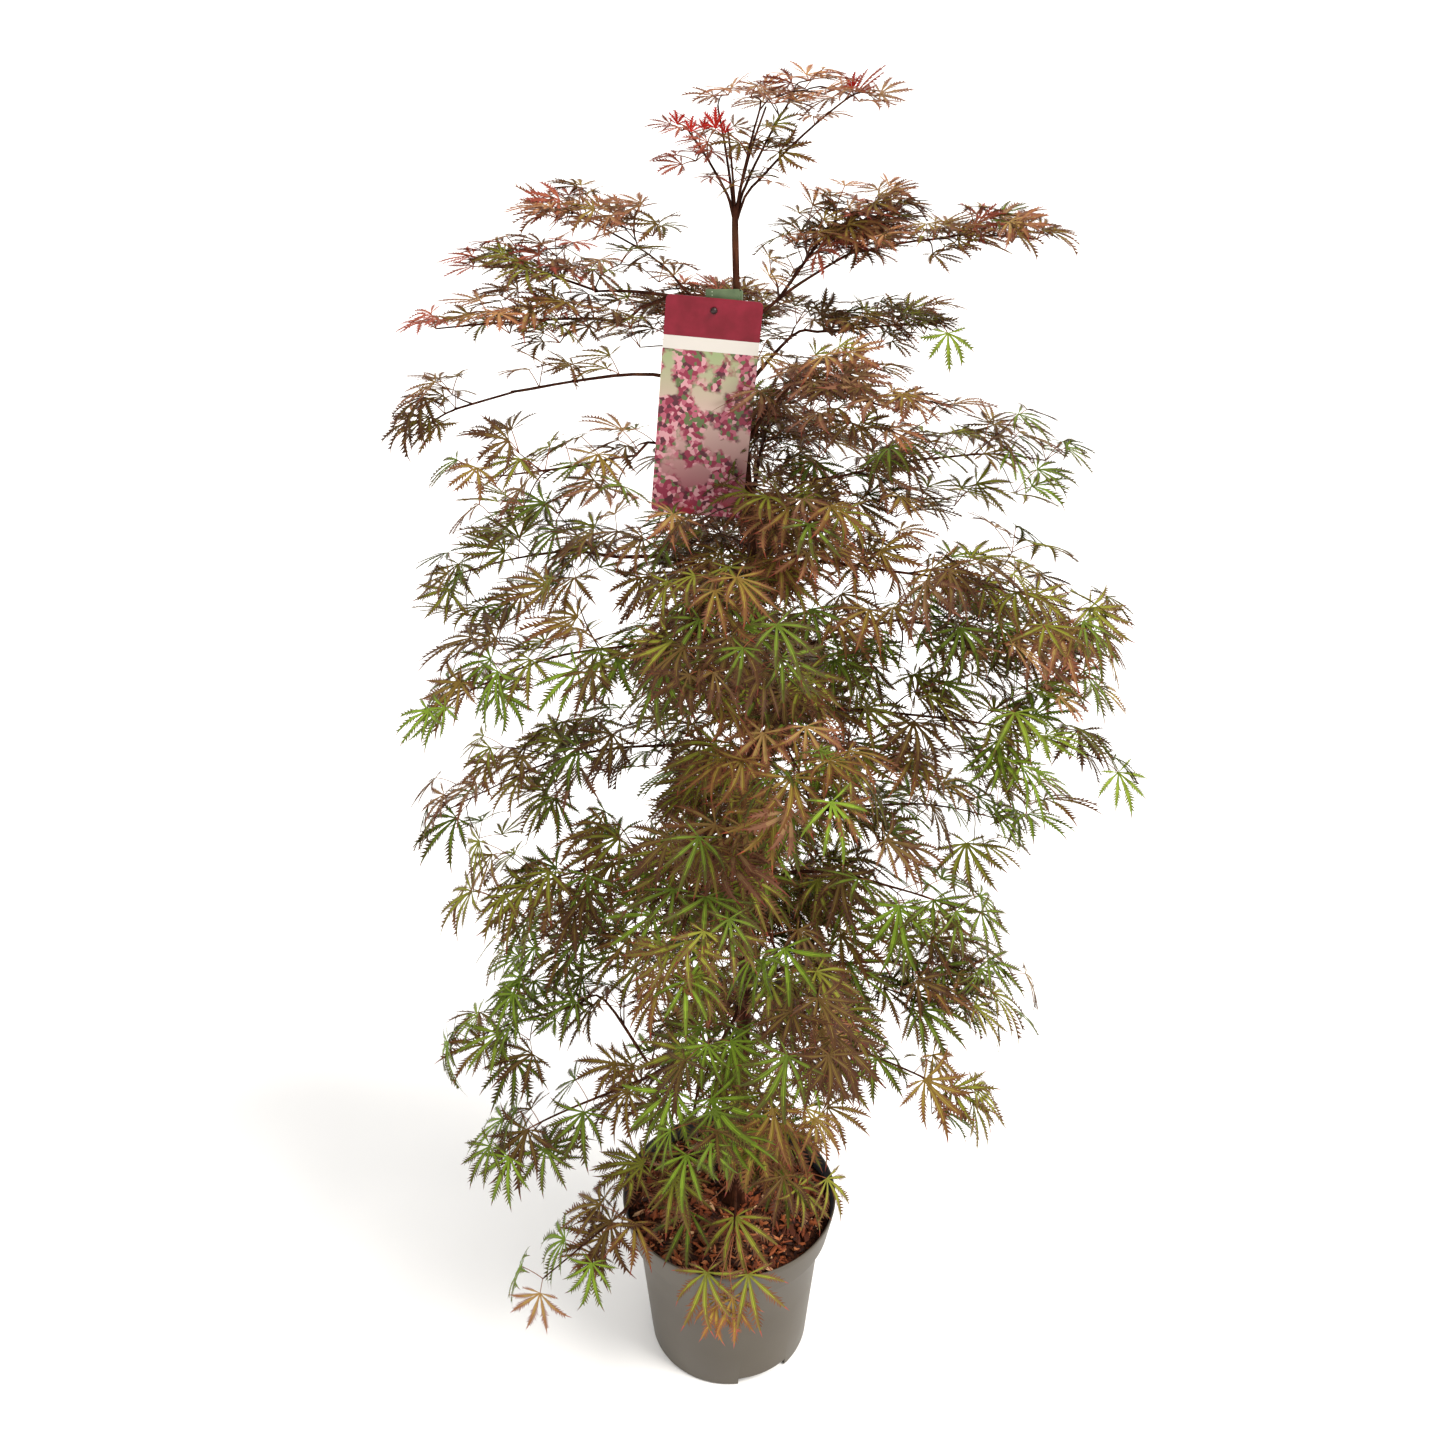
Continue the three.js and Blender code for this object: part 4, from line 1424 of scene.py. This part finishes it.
def grow_plant():
    """The whole plant, from the trunk out: boughs, masses and the crown's stems."""
    boughs = sorted(name for name in frame["nodes"] if name.startswith("bough_"))
    stems = sorted(name for name in frame["nodes"] if name.startswith("stem_"))
    grow_foliage(boughs)
    grow_inner_shoots()
    wood = grow_stems(stems)
    grow_stubs()
    for index, (name, slot) in enumerate(foliage_nodes()):
        if name.startswith("crown"):
            grow_crown(name, piece_name(name, slot), wood, random_for(11, index))
    bough_piece = plant.boughs.make("boughs", [bark_material()], "bark", smooth=True)
    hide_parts(*boughs, *stems)
    plant.twigs.make("twigs", [plain_material("twig_bark", (70, 44, 34), 0.6, 0.2)], "bark", smooth=True)
    stalk = plain_material("leaf_stalk", (134, 78, 46), 0.5, 0.2)
    plant.stalks.make("leaf_stalks", [stalk], "foliage_bronze", smooth=True)
    pieces = {}
    for name, slot in foliage_nodes():
        pieces.setdefault(piece_name(name, slot), (slot, []))[1].append(name)
    for piece, (slot, nodes) in pieces.items():
        plant.leaves_of(piece).make(piece, slot, nodes)


def make_trunk():
    """The trunk with its root flare, ribs of bark, and a scar ring every few centimetres."""
    RINGS = 260
    SIDES = 28
    TRUNK_RADIUS = 0.0095
    TRUNK_TIP_RADIUS = 0.0026
    FLARE = 0.0055
    FLARE_LENGTH = 0.022
    path = smooth_curve(TRUNK, RINGS)
    height = path[:, 2]
    run = (height - height[0]) / (height[-1] - height[0])
    radii = TRUNK_RADIUS + (TRUNK_TIP_RADIUS - TRUNK_RADIUS) * run
    radii = radii + FLARE * np.exp(-(height - height[0]) / FLARE_LENGTH)

    def relief(path, turn):
        z = path[:, 2][:, None]
        broad = 0.035 * np.sin(5 * turn[None] + 9 * np.sin(z / 0.11))
        fine = 0.025 * np.sin(9 * turn[None] - z / 0.035)
        scars = 0.025 * np.clip(np.sin(z / 0.012 + 1.5 * np.sin(z / 0.05)), 0.6, 1)
        roots = 0.22 * np.sin(5 * turn[None] + 0.6) * np.exp(-(z - z[0]) / 0.02)
        return 0.96 + (broad + fine) + scars + roots

    pile = Pile()
    pile.add(*tube(path, radii, SIDES, relief))
    piece = pile.make("trunk_bark", [bpy.data.materials["maple_bark"]], "bark", smooth=True)
    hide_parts("trunk")


# Pot, soil, mulch, tie and tag


def arc(middle, radius, first, last, count):
    """(radius, height) pairs along an arc, by degrees."""
    turns = np.radians(np.linspace(first, last, count))
    return [(middle[0] + radius * math.cos(t), middle[1] + radius * math.sin(t)) for t in turns]


def cut_boxes(piece, boxes):
    """Cuts boxes, given by size, place and turn about the pot's axis, out of a piece."""
    cutters = []
    for size, place, turn in boxes:
        bpy.ops.mesh.primitive_cube_add(size=1)
        cutter = bpy.context.object
        cutter.data.transform(Matrix.Diagonal((*size, 1)))
        cutter.data.transform(Matrix.Translation(place))
        cutter.data.transform(Matrix.Rotation(math.radians(turn), 4, "Z"))
        modifier = piece.modifiers.new("cut", "BOOLEAN")
        modifier.object = cutter
        modifier.operation = "DIFFERENCE"
        modifier.solver = "EXACT"
        cutters.append(cutter)
    evaluated = piece.evaluated_get(bpy.context.evaluated_depsgraph_get())
    cut = bpy.data.meshes.new_from_object(evaluated)
    piece.modifiers.clear()
    piece.data = cut
    for cutter in cutters:
        bpy.data.objects.remove(cutter)


def make_pot():
    """A turned pot with a stepped collar, a rounded lip and three drain notches."""
    SEGMENTS = 128
    LIP = POT_WALL / 2
    BACK = 3  # the inside's painted shade starts this many rings before the lip's end
    outside = [
        (0, 0),
        *arc((BASE_RADIUS - 0.003, 0.003), 0.003, -90, -5, 5),
        (0.099, 0.055),
        (0.1035, 0.11),
        (BODY_TOP[0] - 0.0004, BODY_TOP[1] - 0.003),
        (BODY_TOP[0] + 0.0006, BODY_TOP[1] - 0.0008),
        (COLLAR_FOOT[0] - 0.0015, COLLAR_FOOT[1]),
        (COLLAR_FOOT[0], COLLAR_FOOT[1] + 0.0012),
        (RIM_RADIUS - 0.0012, POT_HEIGHT - 0.009),
        *arc((RIM_RADIUS - LIP, POT_HEIGHT - LIP), LIP, 0, 180, 7),
    ]
    inside = [
        (COLLAR_FOOT[0] - POT_WALL, COLLAR_FOOT[1] + POT_WALL),
        (BODY_TOP[0] - POT_WALL, BODY_TOP[1]),
        (BASE_RADIUS - POT_WALL, POT_FLOOR),
        (0, POT_FLOOR),
    ]
    vertices, triangles = lathe([*outside, *inside], SEGMENTS)
    # The inner half of the lip, the inside of the wall and the floor take a darker colour: painted shade for
    # the shadowed inside of the pot
    ring = triangles[:, 0] // SEGMENTS
    inner = (ring >= len(outside) - BACK).astype(int)
    pile = Pile()
    pile.add(vertices, triangles, inner)
    # Painted shade: the same plastic, darker and bluer, for the inside where shade falls
    dark = plain_material("pot_inside_shade", (52, 56, 60), 0.5)
    piece = pile.make("pot_shell", [pot_material(), dark], "pot", smooth=True)
    size = (2 * NOTCH["depth"], NOTCH["width"], 2 * NOTCH["height"])
    boxes = [
        (size, (BASE_RADIUS, 0, 0), NOTCH["first"] + k * 360 / NOTCH["count"])
        for k in range(NOTCH["count"])
    ]
    cut_boxes(piece, boxes)
    sharpen(piece, 35)
    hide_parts("pot")


def sharpen(piece, degrees):
    """Smooth shading that breaks at edges sharper than an angle."""
    mesh = piece.data
    edges = bmesh.new()
    edges.from_mesh(mesh)
    limit = math.radians(degrees)
    for edge in edges.edges:
        edge.smooth = len(edge.link_faces) == 2 and edge.calc_face_angle(0) < limit
    for face in edges.faces:
        face.smooth = True
    edges.to_mesh(mesh)
    edges.free()


SOIL_FALL = 0.006  # how much lower the soil is at the wall


def soil_top(x, y):
    """Height of the soil's surface: level at the trunk, uneven and lower towards the wall."""
    LEVEL = 0.05  # lumps have their full height from this far out on
    FALLS_FROM = 0.085
    FALLS_OVER = 0.03
    away = np.hypot(x, y)
    lumps = 0.0016 * np.sin(x / 0.009) * np.cos(y / 0.011) + 0.0012 * np.sin((x + y) / 0.017)
    fall = SOIL_FALL * np.clip((away - FALLS_FROM) / FALLS_OVER, 0, 1)
    return SOIL_HEIGHT + lumps * np.clip(away / LEVEL, 0, 1) - fall


def make_soil():
    """The soil fills the pot under a cover of bark chips."""
    SEGMENTS = 96
    INSET = 0.0009
    GAP = 0.0003
    collar = ([COLLAR_FOOT[1], POT_HEIGHT], [COLLAR_FOOT[0], RIM_RADIUS])
    wall = np.interp(SOIL_HEIGHT - SOIL_FALL, *collar) - POT_WALL
    radii = np.linspace(wall - 0.001, 0.004, 22)
    profile = [
        (0, POT_FLOOR + GAP),
        (BASE_RADIUS - POT_WALL - INSET, POT_FLOOR + GAP),
        (BODY_TOP[0] - POT_WALL - INSET, BODY_TOP[1] + GAP),
        (COLLAR_FOOT[0] - POT_WALL - INSET, COLLAR_FOOT[1] + POT_WALL + GAP),
        *[(r, SOIL_HEIGHT) for r in radii],
        (0, SOIL_HEIGHT),
    ]
    vertices, triangles = lathe(profile, SEGMENTS)
    top = vertices[:, 2] >= SOIL_HEIGHT - 1e-6
    vertices[top, 2] = soil_top(vertices[top, 0], vertices[top, 1])
    pile = Pile()
    pile.add(vertices, triangles)
    piece = pile.make("soil_fill", [soil_material()], "soil", smooth=True)
    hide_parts("soil")


CHIP_COLOURS = [(48, 24, 16), (86, 42, 24), (122, 60, 32), (150, 80, 44), (180, 112, 70), (212, 168, 126)]
CHIP_ODDS = [0.20, 0.24, 0.26, 0.18, 0.08, 0.04]


def chip(random):
    """One flat, broken flake of bark of unit length."""
    SIDES = 6
    turn = np.linspace(0, 2 * math.pi, SIDES, endpoint=False) + random.normal(0, 0.18, SIDES)
    width = random.uniform(0.18, 0.46)
    thick = random.uniform(0.08, 0.18)
    rim = np.stack([0.5 * np.cos(turn), width / 2 * np.sin(turn)], 1) * random.uniform(0.75, 1.1, (SIDES, 1))
    lower = np.column_stack([rim, np.full(SIDES, -thick / 2)])
    narrowed = rim * random.uniform(0.7, 0.95, (SIDES, 1))
    upper = np.column_stack([narrowed, thick / 2 * random.uniform(0.5, 1.2, SIDES)])
    return np.concatenate([lower, upper]), rings_to_triangles(2, SIDES)


def make_mulch():
    """Bark chips strewn on the soil, larger ones on top."""
    CHIPS = 2200
    WALL_ROOM = 0.006
    SMALL, LARGE = (0.006, 0.012), (0.011, 0.020)  # lengths
    LARGE_FROM = 0.75  # share of the chips
    PITCH, ROLL = 0.5, 0.4  # spreads in radians
    PILED = 0.003  # height of the last ones over the first
    random = random_for(12)
    reach = RIM_RADIUS - POT_WALL - WALL_ROOM
    pile = Pile()
    for index in range(CHIPS):
        share = index / CHIPS
        length = random.uniform(*(SMALL if share < LARGE_FROM else LARGE))
        away = (reach - length / 2) * math.sqrt(random.uniform(0.012, 1))
        turn = random.uniform(0, 2 * math.pi)
        x, y = away * math.cos(turn), away * math.sin(turn)
        vertices, triangles = chip(random)
        tilt = Euler((random.normal(0, PITCH), random.normal(0, ROLL), random.uniform(0, 2 * math.pi)))
        turned = vertices @ np.array(tilt.to_matrix()).T * length
        height = soil_top(x, y) - turned[:, 2].min() * 0.5 + share * PILED
        colour = int(random.choice(len(CHIP_COLOURS), p=CHIP_ODDS))
        pile.add(turned + [x, y, height], triangles, colour)
    materials = [plain_material(f"chip_{k}", c, 0.75, 0.25) for k, c in enumerate(CHIP_COLOURS)]
    pile.make("bark_mulch", materials, "soil")


TIE_HEIGHT = 1.249
STUD_PLACE = (-0.015, -0.010, 1.240)
TAG_HOLE_DROP = 0.010


def bevelled_box(size, place, bevel):
    """Vertices and triangles of a box with rounded edges."""
    box = bmesh.new()
    bmesh.ops.create_cube(box, size=1)
    bmesh.ops.scale(box, vec=size, verts=box.verts)
    bmesh.ops.bevel(box, geom=box.edges[:], offset=bevel, segments=3, profile=0.5, affect="EDGES")
    bmesh.ops.translate(box, vec=place, verts=box.verts)
    bmesh.ops.triangulate(box, faces=box.faces)
    box.verts.ensure_lookup_table()
    vertices = np.array([vertex.co for vertex in box.verts])
    triangles = np.array([[vertex.index for vertex in face.verts] for face in box.faces])
    box.free()
    return vertices, triangles


def strap_band():
    """Vertices and triangles of the strap's closed band, which has rounded edges."""
    PLACE = (0.0038, 0, TIE_HEIGHT)
    INNER, OUTER = 0.0034, 0.0052
    HALF_HEIGHT = 0.005
    ROUNDNESS = 0.4
    turn = np.linspace(0, 2 * math.pi, 40, endpoint=False)
    loop = np.linspace(0, 2 * math.pi, 12, endpoint=False)
    middle = (INNER + OUTER) / 2
    half = (OUTER - INNER) / 2
    radii = middle + half * np.sign(np.cos(loop)) * np.abs(np.cos(loop)) ** ROUNDNESS
    heights = HALF_HEIGHT * np.sign(np.sin(loop)) * np.abs(np.sin(loop)) ** ROUNDNESS
    ring = np.array([[[r * math.cos(t), r * math.sin(t), z] for r, z in zip(radii, heights)] for t in turn])
    a, b = np.meshgrid(np.arange(len(turn)), np.arange(len(loop)), indexing="ij")
    here = (a * len(loop) + b).ravel()
    beside = (a * len(loop) + (b + 1) % len(loop)).ravel()
    onward = ((a + 1) % len(turn) * len(loop) + b).ravel()
    both = ((a + 1) % len(turn) * len(loop) + (b + 1) % len(loop)).ravel()
    band = np.concatenate([np.stack([here, onward, both], 1), np.stack([here, both, beside], 1)])
    return ring.reshape(-1, 3) + np.array(PLACE), band


def stud():
    """Vertices and triangles of the stud, which points forward out of the tab."""
    SHANK = 0.0015
    HEAD = 0.0030
    SUNK = 0.0005
    profile = [(0, -0.005), (SHANK, -0.005), (SHANK, 0.001), *arc((0, 0.001), HEAD, 0, 80, 6), (0, 0.004)]
    turned, faces = lathe(profile, 20)
    x, y, z = STUD_PLACE
    return np.stack([turned[:, 0], -turned[:, 2], turned[:, 1]], 1) + [x, y - SUNK, z], faces


def make_tie():
    """A soft strap round the trunk with a broad tab, a row of pinholes, and the stud that holds the tag."""
    TAB = {"size": (0.028, 0.002, 0.026), "place": (-0.008, -0.005, 1.243), "bevel": 0.0008}
    PINHOLES = 9
    PINHOLE = {"size": (0.0009, 0.0002, 0.0009), "across": -0.0165, "bevel": 0.00006}
    ROW = TAB["size"][2] - 0.004
    pile = Pile()
    pile.add(*strap_band())
    pile.add(*bevelled_box(TAB["size"], TAB["place"], TAB["bevel"]))
    front = TAB["place"][1] - TAB["size"][1] / 2
    for k in range(PINHOLES):
        height = TAB["place"][2] + (k / (PINHOLES - 1) - 0.5) * ROW
        pile.add(*bevelled_box(PINHOLE["size"], (PINHOLE["across"], front, height), PINHOLE["bevel"]), 1)
    pile.add(*stud(), 2)
    materials = [
        tie_material(),
        plain_material("tie_pinhole", (176, 188, 160), 0.6),
        plain_material("stud_plastic", (44, 26, 26), 0.35),
    ]
    piece = pile.make("tie_strap", materials, "tie")
    sharpen(piece, 30)
    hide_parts("tie")


# The card's colours from its head down, and the dabs of its made-up blossom
TAG_HEAD = [(0.35, (112, 10, 30)), (0.7, (134, 22, 44))]
TAG_STRIP = (214, 208, 200)
TAG_GROUND = [(0.25, (150, 164, 118)), (0.5, (196, 170, 158)), (0.9, (150, 84, 94)), (0.96, (150, 40, 58))]
TAG_DABS = [
    (0, (138, 48, 70)),
    (0.3, (176, 92, 110)),
    (0.5, (92, 106, 66)),
    (0.65, (206, 150, 156)),
    (0.85, (86, 40, 50)),
]


def tag_material():
    """A glossy printed card: a burgundy head, a white strip, and a soft made-up pattern below."""
    HEAD_TO = 0.175  # shares of the way down
    STRIP_TO = 0.232
    tag = Shading("tag_print", roughness=0.34, specular=0.25)
    lean = math.radians(TAG_LEAN)
    x, _, z = STUD_PLACE
    shift = (-(x * math.cos(lean) - z * math.sin(lean)), 0, -(x * math.sin(lean) + z * math.cos(lean)))
    place = tag.stretched(turn=(0, -lean, 0), shift=shift)
    axes = tag.node("ShaderNodeSeparateXYZ")
    tag.link(place, axes.inputs[0])
    down = tag.between(axes.outputs["Z"], TAG_HOLE_DROP, TAG_HOLE_DROP - TAG_HEIGHT)
    head = tag.ramp(tag.noise(60, detail=3, vector=place), TAG_HEAD)
    ground = tag.ramp(down, TAG_GROUND)
    cells = tag.node("ShaderNodeSeparateColor")
    tag.link(tag.cells(300, vector=place, output="Color"), cells.inputs[0])
    dabs = tag.ramp(cells.outputs[0], TAG_DABS, sharp=True)
    blossom = tag.between(tag.noise(34, detail=4, vector=place), 0.42, 0.48)
    picture = tag.mixed(blossom, ground, dabs)
    lower = tag.mixed(tag.step(down, STRIP_TO), linear(TAG_STRIP), picture)
    tag.colour(tag.mixed(tag.step(down, HEAD_TO), head, lower))
    return tag.material


def dress_tag():
    """The card's own shape is right, so it keeps it and takes the printed material."""
    mesh = frame["nodes"]["tag"].data
    mesh.materials.clear()
    mesh.materials.append(tag_material())


# Stage, light and camera


WORLD_COLOUR = (1.0, 0.985, 0.965, 1.0)
WORLD_STRENGTH = 0.95
SUN_COLOUR = (1.0, 0.965, 0.91)
SUNS = {
    "key": {"strength": 3.2, "heading": -28, "height": 50, "spread": 24},
    "fill": {"strength": 0.4, "heading": 150, "height": 40, "spread": 60},
}


def make_stage():
    FLOOR_HALF = 200.0
    mesh = bpy.data.meshes.new("floor")
    corners = [(-1, -1), (1, -1), (1, 1), (-1, 1)]
    mesh.from_pydata([(FLOOR_HALF * x, FLOOR_HALF * y, 0) for x, y in corners], [], [(0, 1, 2, 3)])
    mesh.materials.append(plain_material("floor_pale", (250, 250, 250), 0.9, 0.1))
    floor = bpy.data.objects.new("floor", mesh)
    bpy.context.scene.collection.objects.link(floor)
    floor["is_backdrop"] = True


def add_sun(name, strength, heading, height, spread):
    """A soft far light, from a heading and a height above level, in degrees."""
    light = bpy.data.lights.new(name, "SUN")
    light.energy = strength
    light.angle = math.radians(spread)
    light.color = SUN_COLOUR
    lamp = bpy.data.objects.new(name, light)
    rise = math.radians(height)
    towards = Vector(math.cos(rise) * heading_vector(heading) + math.sin(rise) * UP)
    lamp.rotation_mode = "QUATERNION"
    lamp.rotation_quaternion = towards.to_track_quat("Z", "Y")
    bpy.context.scene.collection.objects.link(lamp)


def make_light():
    world = bpy.data.worlds.new("studio")
    world.use_nodes = True
    background = world.node_tree.nodes["Background"]
    background.inputs["Color"].default_value = WORLD_COLOUR
    background.inputs["Strength"].default_value = WORLD_STRENGTH
    bpy.context.scene.world = world
    for name, values in SUNS.items():
        add_sun(name, **values)
    bpy.context.scene.view_settings.view_transform = "Standard"


def make_camera():
    data = bpy.data.cameras.new("camera")
    data.sensor_width = SENSOR
    data.lens = LENS
    camera = bpy.data.objects.new("camera", data)
    camera.location = CAMERA_PLACE
    camera.rotation_euler = (math.radians(90 - CAMERA_PITCH), 0, 0)
    bpy.context.scene.collection.objects.link(camera)
    bpy.context.scene.camera = camera


def write_size():
    """Gathers the frame's box and the finished model's; nothing is done with them."""
    boxes = {"cad": cad_box, "visual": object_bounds()}
    {key: [list(corner) for corner in box] for key, box in boxes.items()}


make_camera()
make_light()
make_stage()
make_pot()
make_soil()
make_mulch()
grow_plant()
make_trunk()
make_tie()
dress_tag()
write_size()
